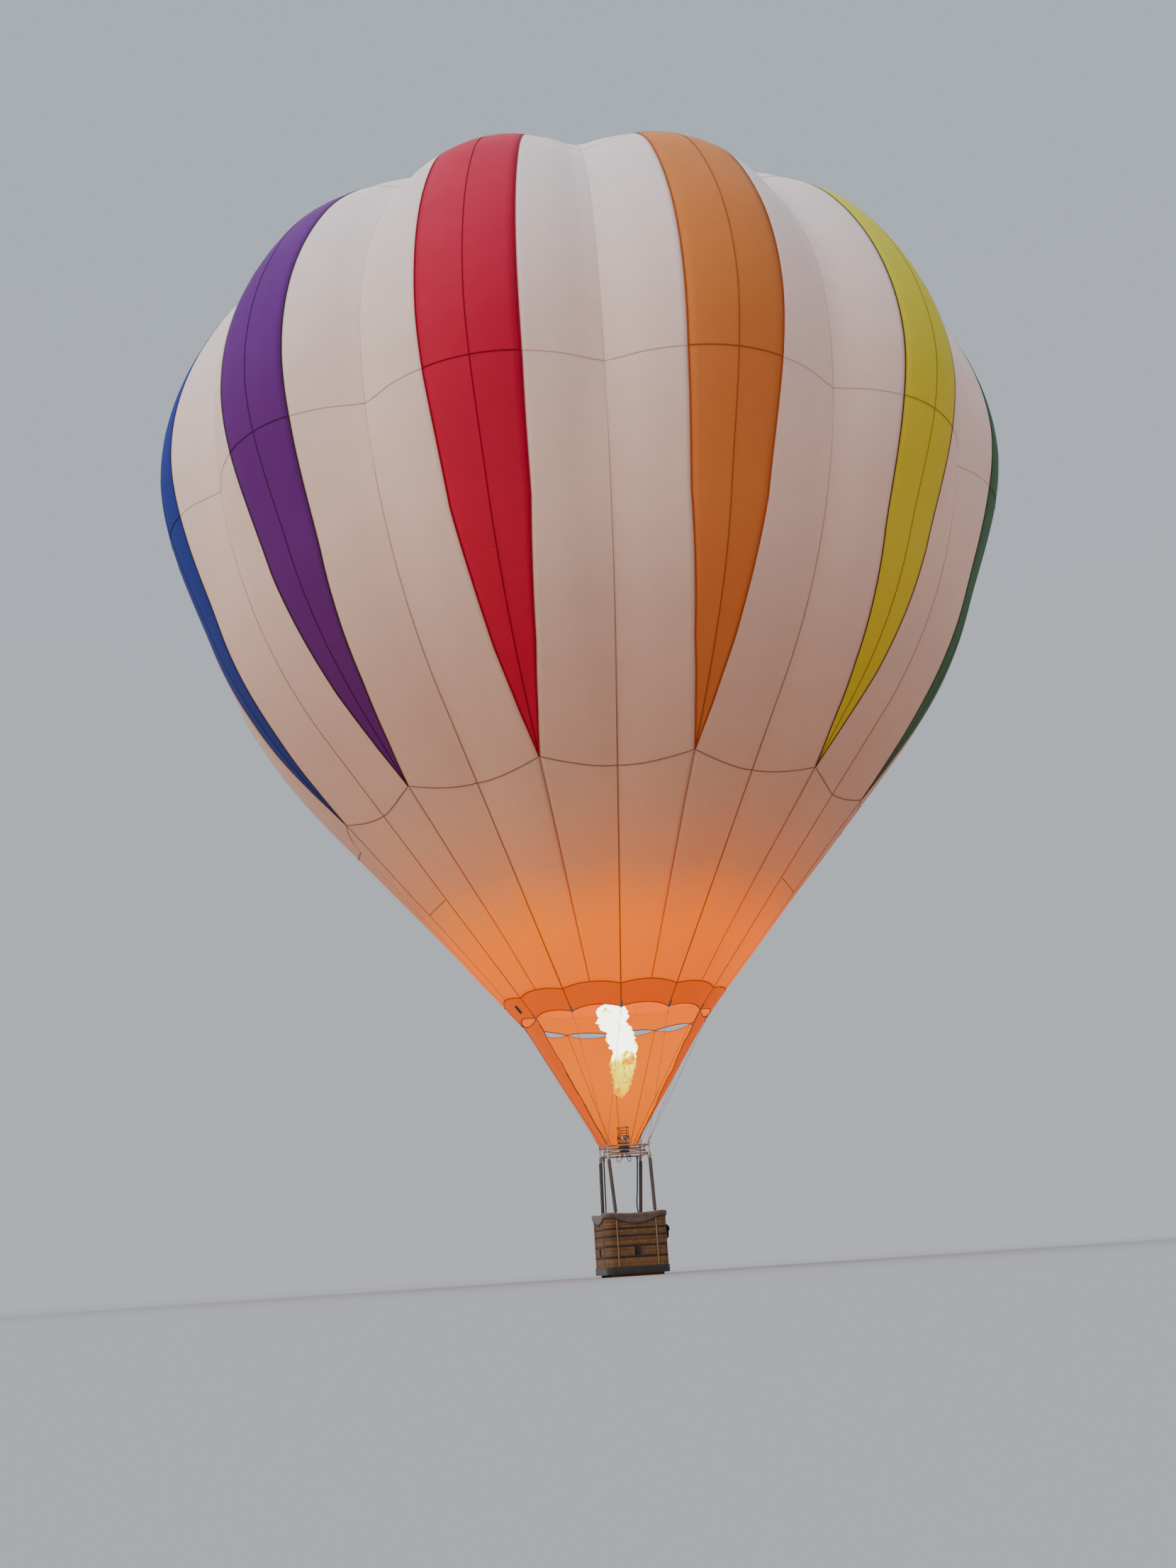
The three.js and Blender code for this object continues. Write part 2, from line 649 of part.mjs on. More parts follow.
// Hose loops hung under the valve block
function burnerHose(side) {
  const port = point(side * 45, 30, SKIRT_LOW - BLOCK_HEIGHT - 35 - 2 * FACE_GAP);
  const points = [
    port,
    point(port.x, port.y, port.z - 40),
    point(side * 85, 60, port.z - 120),
    point(side * 130, 90, port.z - 95),
    point(side * 120, 70, port.z - 10),
  ];
  return tube(points, 11, 8, 14);
}
add('burner_hose_left', burnerHose(-1), finish(0x201d1c, 0.6));
add('burner_hose_right', burnerHose(1), finish(0x201d1c, 0.6));

// Flying wires: three from each frame corner to the lip, joined by a shackle block
const SHACKLE_WIDTH = 34;
const SHACKLE_HEIGHT = 40;
function flyingWires([sx, sy], firstCusp) {
  const seat = FRAME_TOP + FRAME_TUBE + 6 + FACE_GAP;
  const corner = point(sx * FRAME_HALF, sy * FRAME_HALF, seat + SHACKLE_HEIGHT / 2);
  const pieces = [block(SHACKLE_WIDTH, SHACKLE_WIDTH, SHACKLE_HEIGHT, corner.x, corner.y, corner.z)];
  for (let cusp = firstCusp; cusp < firstCusp + 3; cusp++) {
    const end = cuspPoint(cusp, -9, LIP_PLACE - 3 * PLACE_GAP);
    pieces.push(rod(corner, end, 5, 6));
  }
  return join(pieces);
}
const WIRE_SETS = [[[1, -1], 1], [[1, 1], 4], [[-1, 1], 7], [[-1, -1], 10]];
WIRE_SETS.forEach(([corner, firstCusp], i) => {
  add(`flying_wires_${i}`, flyingWires(corner, firstCusp), finish(0xc9a58c, 0.5, 0.4));
});

// Rounded rectangle of the basket in plan: points with their outward directions
function basketPlan(halfX, halfY, radius, perCorner) {
  const plan = [];
  CORNERS.forEach(([sx, sy], corner) => {
    for (let i = 0; i <= perCorner; i++) {
      const angle = -Math.PI + (corner + i / perCorner) * (Math.PI / 2);
      const out = point(Math.cos(angle), Math.sin(angle), 0);
      const centre = point(sx * (halfX - radius), sy * (halfY - radius), 0);
      plan.push([centre.addScaledVector(out, radius), out]);
    }
    const next = CORNERS[(corner + 1) % CORNERS.length];
    for (const share of [0.25, 0.5, 0.75]) {
      const angle = -Math.PI + (corner + 1) * (Math.PI / 2);
      const out = point(Math.cos(angle), Math.sin(angle), 0);
      const from = point(sx * (halfX - radius), sy * (halfY - radius), 0);
      const to = point(next[0] * (halfX - radius), next[1] * (halfY - radius), 0);
      plan.push([from.lerp(to, share).addScaledVector(out, radius), out]);
    }
  });
  return plan;
}

// Height of the wall's top at a place in plan: level round the corners, lowest at the middle of each side
function wallTop(place) {
  const x = Math.abs(place.x);
  const y = Math.abs(place.y);
  let along = 1;
  if (y > BASKET_Y - 1) {
    along = Math.min(1, x / (BASKET_X - BASKET_CORNER));
  } else if (x > BASKET_X - 1) {
    along = Math.min(1, y / (BASKET_Y - BASKET_CORNER));
  }
  return WALL_TOP - RIM_DIP * (1 - along * along);
}

// A band round the basket from sections of [outward, height], the top following the wall's dip
function basketBand(sections, perCorner = 4) {
  return ringBody(
    basketPlan(BASKET_X, BASKET_Y, BASKET_CORNER, perCorner).map(([place, out]) => {
      return sections(place).map(([outward, height]) => {
        const spot = place.clone().addScaledVector(out, outward);
        spot.z = height;
        return spot;
      });
    }),
  );
}

const FOOTHOLD_WIDTH = 110;
const FOOTHOLD_HEIGHT = 148;
const FOOTHOLD_MIDDLE = 418;

function basketWalls() {
  const walls = basketBand((place) => [
    [0, RUNNER_HEIGHT + FACE_GAP],
    [0, wallTop(place)],
    [-WALL, wallTop(place)],
    [-WALL, RUNNER_HEIGHT + FACE_GAP],
  ]);
  const holes = [];
  for (const side of [-1, 1]) {
    holes.push(block(FOOTHOLD_WIDTH, 4 * WALL, FOOTHOLD_HEIGHT, 0, side * BASKET_Y, FOOTHOLD_MIDDLE));
    holes.push(block(4 * WALL, FOOTHOLD_WIDTH, FOOTHOLD_HEIGHT, side * BASKET_X, 0, FOOTHOLD_MIDDLE));
  }
  return cut(walls, holes);
}
add('basket_walls', basketWalls(), finish(WICKER, 0.85));

// Padded rim: a roll on the wall's top with an apron down both faces, deepest at the middle of a side
const ROLL_ANGLES = [-20, 15, 50, 90, 130, 165, 200];
function basketRim(grow = 0) {
  return basketBand((place) => {
    const top = wallTop(place);
    const dip = (WALL_TOP - top) / RIM_DIP;
    const low = top - 8 - APRON_DIP * dip;
    const roll = ROLL_ANGLES.map((degrees) => {
      const angle = (degrees * Math.PI) / 180;
      const reach = RIM_RADIUS + grow;
      return [-WALL / 2 + reach * Math.cos(angle), top + RIM_RADIUS - 2 + reach * Math.sin(angle)];
    });
    return [
      [FACE_GAP, low],
      [FACE_GAP + APRON_THICKNESS, low],
      [FACE_GAP + APRON_THICKNESS + 5, top - 2],
      ...roll,
      [-WALL - FACE_GAP - APRON_THICKNESS - 5, top - 2],
      [-WALL - FACE_GAP - APRON_THICKNESS, low],
      [-WALL - FACE_GAP, low],
      [-WALL - FACE_GAP, top + FACE_GAP],
      [FACE_GAP, top + FACE_GAP],
    ];
  });
}
add('basket_rim', basketRim(), finish(HIDE, 0.9));

function scuffBand() {
  return basketBand(() => [
    [FACE_GAP, RUNNER_HEIGHT + FACE_GAP],
    [FACE_GAP, SCUFF_TOP],
    [FACE_GAP + SCUFF_THICKNESS, SCUFF_TOP - 10],
    [FACE_GAP + SCUFF_THICKNESS, RUNNER_HEIGHT + 30],
    [FACE_GAP + SCUFF_THICKNESS - 5, RUNNER_HEIGHT + FACE_GAP],
  ]);
}
add('scuff_band', scuffBand(), finish(0x1c1513, 0.85));

function basketFloor() {
  const plan = basketPlan(BASKET_X, BASKET_Y, BASKET_CORNER, 4);
  const outline = new THREE.Shape(
    plan.map(([place, out]) => {
      const spot = place.clone().addScaledVector(out, -WALL - FACE_GAP);
      return new THREE.Vector2(spot.x, spot.y);
    }),
  );
  const plate = new THREE.ExtrudeGeometry(outline, { depth: FLOOR_THICKNESS, bevelEnabled: false });
  return plate.translate(0, 0, RUNNER_HEIGHT + FACE_GAP);
}
add('basket_floor', basketFloor(), finish(0x8a6a45, 0.7));

// Runners under the floor, held together by two cross battens
function runners() {
  const pieces = [];
  const runnerReach = BASKET_Y - BASKET_CORNER;
  const battenReach = BASKET_X - 230;
  for (const side of [-1, 0, 1]) {
    pieces.push(block(2 * BASKET_X - 200, 60, RUNNER_HEIGHT, 0, side * runnerReach, RUNNER_HEIGHT / 2));
  }
  for (const side of [-1, 1]) {
    const x = side * battenReach;
    pieces.push(block(70, 2 * runnerReach, RUNNER_HEIGHT - 15, x, 0, (RUNNER_HEIGHT + 15) / 2));
  }
  return join(pieces);
}
add('runners', runners(), finish(0x6f5233, 0.75));

// Uprights in padded covers, from the frame's sockets to the rim's corners
const COVER_RADIUS = 34;
const ROD_RADIUS = 15;
function upright(corner) {
  const { top, foot, along } = uprightEnds(corner);
  const start = top.clone().addScaledVector(along, SOCKET_LENGTH + FACE_GAP);
  const cover = start.clone().addScaledVector(along, 14);
  const coverEnd = foot.clone().addScaledVector(along, -30);
  const whole = join([
    rod(start, foot.clone().addScaledVector(along, 60), ROD_RADIUS, 8),
    rod(cover, coverEnd, COVER_RADIUS, 10),
  ]);
  return cut(whole, [basketRim(FACE_GAP), basketTrim]);
}
// Cuts the rods' feet level with the wall's inner face
const basketTrim = block(3000, 3000, 400, 0, 0, WALL_TOP - 200 + RIM_RADIUS);
CORNERS.forEach((corner, i) => {
  add(`upright_${i}`, upright(corner), finish(0x2c2422, 0.9));
});

// Fuel cylinders standing in the corners
function fuelTank(sx, sy) {
  const x = sx * (BASKET_X - WALL - TANK_RADIUS - 28);
  const y = sy * (BASKET_Y - WALL - TANK_RADIUS - 28);
  const foot = RUNNER_HEIGHT + FLOOR_THICKNESS + 2 * FACE_GAP;
  const top = foot + TANK_HEIGHT;
  const profile = [
    [0, foot],
    [TANK_RADIUS - 20, foot],
    [TANK_RADIUS, foot + 40],
    [TANK_RADIUS, top - 150],
    [TANK_RADIUS - 30, top - 100],
    [95, top - 85],
    [95, top - 20],
    [88, top - 20],
    [88, top - 80],
    [26, top - 72],
    [26, top],
    [0, top],
  ];
  const lathe = new THREE.LatheGeometry(profile.map(([r, z]) => new THREE.Vector2(r, z)), 16);
  return lathe.rotateX(Math.PI / 2).translate(x, y, 0);
}
CORNERS.forEach(([sx, sy], i) => {
  add(`fuel_tank_${i}`, fuelTank(sx, sy), finish(0x9a9a98, 0.35, 0.8));
});

// Fuel hoses up the rear uprights to the frame's lower rail
function fuelHose(side) {
  const { top, foot, along } = uprightEnds([side, 1]);
  const x = side * (BASKET_X - WALL - TANK_RADIUS - 28);
  const y = BASKET_Y - WALL - TANK_RADIUS - 28;
  const start = RUNNER_HEIGHT + FLOOR_THICKNESS + TANK_HEIGHT + 3 * FACE_GAP;
  const inward = point(-side * 62, 0, 0);
  const points = [
    point(x, y, start),
    point(x, y, start + 60),
    foot.clone().addScaledVector(along, -120).add(inward),
    foot.clone().lerp(top, 0.5).add(inward),
    top.clone().addScaledVector(along, 120).add(inward),
    point(side * (FRAME_HALF - 66), FRAME_HALF, FRAME_LOW - FRAME_TUBE - 50),
    point(side * (FRAME_HALF - 66), FRAME_HALF, FRAME_LOW - FRAME_TUBE - 2 * FACE_GAP),
  ];
  return tube(points, 13, 8, 16);
}
add('fuel_hose_left', fuelHose(-1), finish(0x1b1a1a, 0.6));
add('fuel_hose_right', fuelHose(1), finish(0x1b1a1a, 0.6));

// Pouch strapped to the right-hand wall, near its front
const POUCH_BACK = -220;
const POUCH_LOW = 600;
function sidePouch() {
  const bag = new THREE.Shape([
    new THREE.Vector2(0, 0),
    new THREE.Vector2(58, 20),
    new THREE.Vector2(64, 150),
    new THREE.Vector2(40, 235),
    new THREE.Vector2(0, 250),
  ]);
  const geometry = new THREE.ExtrudeGeometry(bag, { depth: 230, bevelEnabled: false });
  return geometry.rotateX(Math.PI / 2).translate(BASKET_X + FACE_GAP, POUCH_BACK, POUCH_LOW);
}
add('side_pouch', sidePouch(), finish(0x191516, 0.85));

const group = new THREE.Group();
group.add(balloon);

export default group;
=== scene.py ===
import math
from bisect import bisect
import bmesh
import bpy
from mathutils import Matrix, Vector, noise


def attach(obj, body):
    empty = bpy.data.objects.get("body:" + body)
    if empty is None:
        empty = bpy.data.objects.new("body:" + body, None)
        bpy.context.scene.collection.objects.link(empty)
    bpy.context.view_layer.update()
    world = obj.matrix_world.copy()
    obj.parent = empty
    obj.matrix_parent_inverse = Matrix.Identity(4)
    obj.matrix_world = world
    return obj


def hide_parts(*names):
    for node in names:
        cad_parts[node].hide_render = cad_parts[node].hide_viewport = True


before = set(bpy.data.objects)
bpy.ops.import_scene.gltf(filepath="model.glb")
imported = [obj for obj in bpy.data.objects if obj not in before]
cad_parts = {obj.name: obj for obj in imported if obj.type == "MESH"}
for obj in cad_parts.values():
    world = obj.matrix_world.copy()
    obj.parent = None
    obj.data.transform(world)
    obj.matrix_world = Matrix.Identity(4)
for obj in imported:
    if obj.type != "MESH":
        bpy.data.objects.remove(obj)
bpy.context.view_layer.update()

# Metres. Pieces are made at heights above the basket's underside, and dress() lowers them by this
LIFT_CENTRE = 14.0
LOWERING = Vector((0, 0, -LIFT_CENTRE))
TURN = 2 * math.pi

# Envelope curve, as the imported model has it
GORES = 12
GORE_STEP = TURN / GORES
HALF_GORE = GORE_STEP / 2
GORE_PHASE = -0.139
EQUATOR_RADIUS, EQUATOR_HEIGHT = 7.763, 15.101
CROWN_RISE, LOWER_DROP = 6.428, 8.494
MOUTH_RADIUS, MOUTH_HEIGHT = 1.511, 4.308
VENT_RADIUS = 1.7
# Places along a gore: 0 at the mouth, 1 at the cone's top, 2 at the equator, 3 at the vent
LIP_PLACE, BAND_TOP_PLACE, BAND_TOP_RISE, TIP_PLACE, VENT_PLACE = 0.05, 0.122, 0.021, 0.814, 3
BULGE = [(0, 0.27), (1, 0.421), (1.5, 0.497), (2, 0.839), (2.35, 0.767), (2.7, 0.496), (3, 0.281)]
COLOUR_WIDTH = [(0.814, 0), (0.94, 0.1), (1.12, 0.21), (1.31, 0.28), (1.48, 0.34), (1.8, 0.375), (3, 0.4)]
GORE_COLOURS = ["orange", "yellow", "green", "blue", "purple", "red"]
CLOTH_THICKNESS = 0.003


# Shaping

def deselect():
    bpy.ops.object.select_all(action="DESELECT")


def take(piece):
    """Select one piece alone and make it the active one"""
    deselect()
    piece.select_set(True)
    bpy.context.view_layer.objects.active = piece
    return piece


def fresh(name):
    """Name the piece that was just added"""
    piece = bpy.context.active_object
    piece.name = piece.data.name = name
    return piece


def settle(piece):
    """Put the piece's place into its mesh"""
    take(piece)
    bpy.ops.object.transform_apply(location=True, rotation=True, scale=True)
    return piece


def applied(piece, kind, **settings):
    """Add a modifier and apply it"""
    take(piece)
    step = piece.modifiers.new(kind.title(), kind)
    for key, value in settings.items():
        setattr(step, key, value)
    bpy.ops.object.modifier_apply(modifier=step.name)
    return piece


def smooth(piece, degrees=40):
    take(piece)
    bpy.ops.object.shade_smooth_by_angle(angle=math.radians(degrees))
    return piece


def joined(name, parts):
    """Join finished parts into one piece"""
    take(parts[0])
    for part in parts:
        part.select_set(True)
    if len(parts) > 1:
        bpy.ops.object.join()
    return fresh(name)


def closed(piece, holes=False, turn=True):
    """Merge doubled points, fill holes where asked, and turn every face outwards where asked"""
    take(piece)
    bpy.ops.object.mode_set(mode="EDIT")
    bpy.ops.mesh.select_all(action="SELECT")
    bpy.ops.mesh.remove_doubles(threshold=0.00005)
    if holes:
        bpy.ops.mesh.fill_holes(sides=0)
    if turn:
        bpy.ops.mesh.normals_make_consistent(inside=False)
    bpy.ops.object.mode_set(mode="OBJECT")
    return piece


def mark(mesh, key, values):
    """Write one value a point: its place on the flat cloth in metres, a number or a colour"""
    if key == "cut":
        layer = mesh.uv_layers.active
        layer.name = key
        layer.data.foreach_set("uv", [part for loop in mesh.loops for part in values[loop.vertex_index]])
    elif isinstance(values[0], float):
        mesh.attributes.new(key, "FLOAT", "POINT").data.foreach_set("value", values)
    else:
        layer = mesh.attributes.new(key, "FLOAT_COLOR", "POINT")
        layer.data.foreach_set("color", [part for tone in values for part in tone])


def laid(name, rows, *marks):
    """A grid primitive laid on rows of points, each point followed by its marks where marks are named"""
    deep, wide = len(rows) - 1, len(rows[0]) - 1
    deselect()
    bpy.ops.mesh.primitive_grid_add(x_subdivisions=wide, y_subdivisions=deep, size=1)
    piece = fresh(name)
    mesh = piece.data
    seats = [rows[round((point.co.y + 0.5) * deep)][round((point.co.x + 0.5) * wide)]
             for point in mesh.vertices]
    points, *values = zip(*seats) if marks else [seats]
    mesh.vertices.foreach_set("co", [part for point in points for part in point])
    for key, column in zip(marks, values):
        mark(mesh, key, column)
    mesh.update()
    return piece


def thickened(piece, depth=CLOTH_THICKNESS, side=-1.0):
    """Give a sheet its thickness, inwards at side -1 and both ways at side 0"""
    return applied(piece, "SOLIDIFY", thickness=depth, offset=side, use_quality_normals=True)


def tube(points, radius, around=2, loop=False, name="tube"):
    """A round tube along points"""
    line = bpy.data.curves.new(name, "CURVE")
    line.dimensions = "3D"
    line.bevel_depth = radius
    line.bevel_resolution = around
    line.use_fill_caps = not loop
    run = line.splines.new("POLY")
    run.points.add(len(points) - 1)
    for knot, spot in zip(run.points, points):
        knot.co = (*spot, 1)
    run.use_cyclic_u = loop
    piece = bpy.data.objects.new(name, line)
    bpy.context.collection.objects.link(piece)
    take(piece)
    bpy.ops.object.convert(target="MESH")
    return smooth(closed(fresh(name)), 50)


def curved(points, per_span=6):
    """Points on a smooth curve through the given ones"""
    knots = [2 * Vector(points[0]) - Vector(points[1]), *map(Vector, points)]
    knots.append(2 * knots[-1] - knots[-2])
    run = []
    for a, b, c, d in zip(knots, knots[1:], knots[2:], knots[3:]):
        for step in range(per_span):
            t = step / per_span
            run.append(0.5 * (2 * b + (c - a) * t + (2 * a - 5 * b + 4 * c - d) * t * t
                              + (3 * b - a - 3 * c + d) * t ** 3))
    return run + [knots[-2]]


def strap(points, aside, width, thick=0.003, name="strap"):
    """A flat strap along points, lying across the direction aside"""
    rows, run = [], 0.0
    for before, spot in zip(points[:1] + points, points):
        run += (spot - before).length
        rows.append([(spot + aside * (width * (share - 0.5)), (width * share, run)) for share in (0, 0.5, 1)])
    return thickened(smooth(laid(name, rows, "cut"), 60), thick, 0.0)


def rod(start, end, radius, sides=20, rounding=0.0):
    """A turned bar between two points"""
    start, end = Vector(start), Vector(end)
    deselect()
    bpy.ops.mesh.primitive_cylinder_add(vertices=sides, radius=radius, depth=(end - start).length)
    piece = fresh("rod")
    piece.rotation_euler = (end - start).to_track_quat("Z", "Y").to_euler()
    piece.location = (start + end) / 2
    settle(piece)
    if rounding:
        applied(piece, "BEVEL", width=rounding, segments=2, limit_method="ANGLE")
    return smooth(piece)


def knob(centre, radius):
    deselect()
    bpy.ops.mesh.primitive_uv_sphere_add(segments=20, ring_count=12, radius=radius, location=centre)
    return smooth(settle(fresh("knob")), 60)


def block(centre, size, rounding=0.003, turn=0.0):
    deselect()
    bpy.ops.mesh.primitive_cube_add(size=1, location=centre)
    piece = fresh("block")
    piece.scale = size
    piece.rotation_euler = (0, 0, turn)
    return smooth(applied(settle(piece), "BEVEL", width=rounding, segments=3, limit_method="ANGLE"))


def hoop(centre, radius, tube_radius, around=64, section=12):
    deselect()
    bpy.ops.mesh.primitive_torus_add(location=centre, major_radius=radius, minor_radius=tube_radius,
                                     major_segments=around, minor_segments=section)
    return smooth(settle(fresh("hoop")), 60)


def turned(profile, x, y, sides=48):
    """A turned shape about an upright axis, from a profile of (radius, height)"""
    rows = [[(x + radius * math.cos(TURN * j / sides), y + radius * math.sin(TURN * j / sides), height)
             for j in range(sides + 1)] for radius, height in profile]
    return smooth(closed(laid("turned", rows)), 35)


# Envelope surface

def between(table, place, eased=False):
    """The value at a place in a table, on a straight or an eased line between two entries"""
    for (a, start), (b, end) in zip(table, table[1:]):
        if place < b:
            share = max(0.0, (place - a) / (b - a))
            if eased:
                share *= share * (3 - 2 * share)
            return start + (end - start) * share
    return table[-1][1]


def cone_angle():
    """Where the cone from the mouth touches the lower ellipse"""
    low, high = 0.2, 1.4
    for _ in range(60):
        middle = (low + high) / 2
        drop = EQUATOR_HEIGHT - LOWER_DROP * math.sin(middle) - MOUTH_HEIGHT
        reach = EQUATOR_RADIUS * math.cos(middle) - drop * EQUATOR_RADIUS / LOWER_DROP * math.tan(middle)
        low, high = (middle, high) if reach > MOUTH_RADIUS else (low, middle)
    return low


CONE_ANGLE = cone_angle()
CONE_TOP_RADIUS = EQUATOR_RADIUS * math.cos(CONE_ANGLE)
CONE_TOP_HEIGHT = EQUATOR_HEIGHT - LOWER_DROP * math.sin(CONE_ANGLE)
CROWN_ANGLE = math.acos(VENT_RADIUS / EQUATOR_RADIUS)


def tape_spot(place):
    """Radius and height of a load tape at a place along it"""
    if place <= 1:
        radius = MOUTH_RADIUS + (CONE_TOP_RADIUS - MOUTH_RADIUS) * place
        return radius, MOUTH_HEIGHT + (CONE_TOP_HEIGHT - MOUTH_HEIGHT) * place
    if place <= 2:
        angle = CONE_ANGLE * (2 - place)
        return EQUATOR_RADIUS * math.cos(angle), EQUATOR_HEIGHT - LOWER_DROP * math.sin(angle)
    angle = CROWN_ANGLE * (place - 2)
    return EQUATOR_RADIUS * math.cos(angle), EQUATOR_HEIGHT + CROWN_RISE * math.sin(angle)


def tape_normal(place):
    (r0, z0), (r1, z1) = tape_spot(place - 1e-3), tape_spot(place + 1e-3)
    length = math.hypot(r1 - r0, z1 - z0)
    return (z1 - z0) / length, -(r1 - r0) / length


def gore_arc(place):
    """Radius and half angle of a gore's arc at a place"""
    bulge = between(BULGE, place, eased=True)
    return tape_spot(place)[0] * math.sin(HALF_GORE) / math.sin(bulge), bulge


def half_width(place):
    """Width of the cloth from the middle of a gore to its load tape"""
    arc, bulge = gore_arc(place)
    return arc * bulge


def slack(gore, across, place):
    """How far the cloth stands off its plain curve: nothing at the load tapes"""
    gore %= GORES
    free = 1 - across * across
    drift = noise.noise(Vector((gore * 5.3 + across * 1.1, place * 3.1, 2.7))) * 0.035
    drawn = noise.noise(Vector((gore * 3.7, place * 1.4, 0.5)))
    folds = 0.05 * across * across * free * math.sin(11 * abs(across) + 2.5 * drawn) * (0.35 + abs(drawn))
    drift *= min(1.0, max(0.0, place - 0.145) / 0.15)
    gathers = max(0.0, place - 2.62) / 0.38
    crown = 0.05 * gathers ** 2 * free * math.sin(8 * across + gore)
    return (drift * free + folds * min(1.0, max(0.0, place - 0.5))) * (1 - 0.6 * gathers) + crown


def valley_round(aside, place):
    """How much the valley at a load tape is filled out, by distance from the tape"""
    deep = between([(0.8, 0.0), (1.5, 0.02), (2.2, 0.05), (2.8, 0.05), (3, 0)], place)
    return deep * math.exp(-(aside / 0.16) ** 2)


def skin(gore, across, place, lift=0.0, loose=True):
    """A point on the envelope: gore number, -1 to 1 across it, place along it, lifted outwards"""
    radius, height = tape_spot(place)
    nr, nz = tape_normal(place)
    arc, bulge = gore_arc(place)
    lean = across * bulge
    if loose:
        lift += slack(gore, across, place) + valley_round((1 - abs(across)) * arc * bulge, place)
    tilt, lean_out = lean, math.sin(lean)
    if abs(across) > 0.999:
        tilt, lean_out = HALF_GORE, math.copysign(nr * math.sin(HALF_GORE), across)
    rise = arc * (math.cos(lean) - math.cos(bulge)) + lift * math.cos(tilt)
    out = radius * math.cos(HALF_GORE) + nr * rise
    shift = arc * math.sin(lean) + lift * lean_out
    angle = GORE_PHASE + (gore + 0.5) * GORE_STEP
    return Vector((out * math.sin(angle) + shift * math.cos(angle),
                   -out * math.cos(angle) + shift * math.sin(angle), height + nz * rise))


PLACE_STEPS = 200


def length_table():
    """Cloth length from the mouth, at every step along a gore"""
    table = [0.0]
    for i in range(1, VENT_PLACE * PLACE_STEPS + 1):
        (r0, z0), (r1, z1) = tape_spot((i - 1) / PLACE_STEPS), tape_spot(i / PLACE_STEPS)
        table.append(table[-1] + math.hypot(r1 - r0, z1 - z0))
    return table


CLOTH_LENGTH = length_table()
LAST_STEP = len(CLOTH_LENGTH) - 2


def length_at(place):
    step = min(int(place * PLACE_STEPS), LAST_STEP)
    start, end = CLOTH_LENGTH[step:step + 2]
    return start + (end - start) * (place * PLACE_STEPS - step)


def place_at(length):
    step = min(bisect(CLOTH_LENGTH, length) - 1, LAST_STEP)
    start, end = CLOTH_LENGTH[step:step + 2]
    return (step + (length - start) / (end - start)) / PLACE_STEPS


def places(first, last, count):
    """Places from first to last, evenly spaced along the cloth"""
    low, top = length_at(first), length_at(last)
    return [place_at(low + (top - low) * i / count) for i in range(count + 1)]


def bowed(place, rise):
    """A level line across a gore that rises towards its middle"""
    return lambda across: place + rise * (1 - across * across)


lip_place = bowed(LIP_PLACE, 0.02)
band_top_place = bowed(BAND_TOP_PLACE, BAND_TOP_RISE)


def glow_at(place):
    """Share of burner light in the cloth: all at the mouth, none at the crown"""
    return between([(0, 1.0), (0.15, 0.97), (0.3, 0.8), (0.4, 0.62), (0.5, 0.48), (0.65, 0.37), (0.8, 0.3),
                    (1.2, 0.2), (1.6, 0.1), (2, 0.03), (2.3, 0.0), (3, 0.0)], place)


def white_half(place):
    """Share of the half gore where the white begins"""
    return between(COLOUR_WIDTH, place)


# Materials

FINISH = {}


def colour(red, green, blue):
    """A colour from its screen values, 0 to 255"""
    parts = [part / 255 for part in (red, green, blue)]
    return *(part / 12.92 if part <= 0.04045 else ((part + 0.055) / 1.055) ** 2.4 for part in parts), 1.0


def feed(tree, node, inputs):
    """Link or set a node's inputs by socket name"""
    for key, value in inputs.items():
        if isinstance(value, bpy.types.NodeSocket):
            tree.links.new(value, node.inputs[key])
        else:
            node.inputs[key].default_value = value
    return node


def put(tree, kind, inputs=None, **settings):
    """Add a shader node with its settings and inputs"""
    made = tree.nodes.new("ShaderNode" + kind)
    for key, value in settings.items():
        setattr(made, key, value)
    return feed(tree, made, inputs or {})


def sums(tree, operation, first, second=0.0):
    return put(tree, "Math", {0: first, 1: second}, operation=operation).outputs[0]


def mixed(tree, share, first, second, blend="MIX"):
    return put(tree, "Mix", {0: share, 6: first, 7: second}, data_type="RGBA", blend_type=blend).outputs[2]


def ranged(tree, value, low, high, start=0.0, end=1.0):
    limits = {"From Min": low, "From Max": high, "To Min": start, "To Max": end}
    return put(tree, "MapRange", {"Value": value, **limits}).outputs[0]


def ramped(tree, value, stops):
    """A colour ramp from (place, colour) stops"""
    made = put(tree, "ValToRGB", {"Fac": value})
    steps = made.color_ramp.elements
    while len(steps) < len(stops):
        steps.new(0.5)
    for step, (place, tone) in zip(steps, stops):
        step.position = place
        step.color = (*tone, 1)
    return made.outputs[0]


def read(tree, key, output="Fac"):
    """The value marked on a piece's points under a name"""
    return put(tree, "Attribute", attribute_name=key).outputs[output]


def cut_map(tree):
    return put(tree, "UVMap", uv_map="cut").outputs[0]


def mottle(tree, scale, detail=2.0, stretch=None, distortion=0.0):
    """Noise through a piece, drawn out where stretch is given"""
    spot = put(tree, "TexCoord").outputs["Object"]
    if stretch:
        spot = put(tree, "Mapping", {"Vector": spot, "Scale": stretch}).outputs[0]
    return put(tree, "TexNoise", {"Vector": spot, "Scale": scale, "Detail": detail,
                                  "Distortion": distortion}).outputs[0]


def relief(tree, height, distance, strength):
    return put(tree, "Bump", {"Height": height, "Distance": distance, "Strength": strength}).outputs[0]


def shade_by(tree, tone, *shades):
    """A colour darkened by each shade in turn"""
    for shade in shades:
        grey = put(tree, "CombineColor", {0: shade, 1: shade, 2: shade}).outputs[0]
        tone = mixed(tree, 1.0, tone, grey, "MULTIPLY")
    return tone


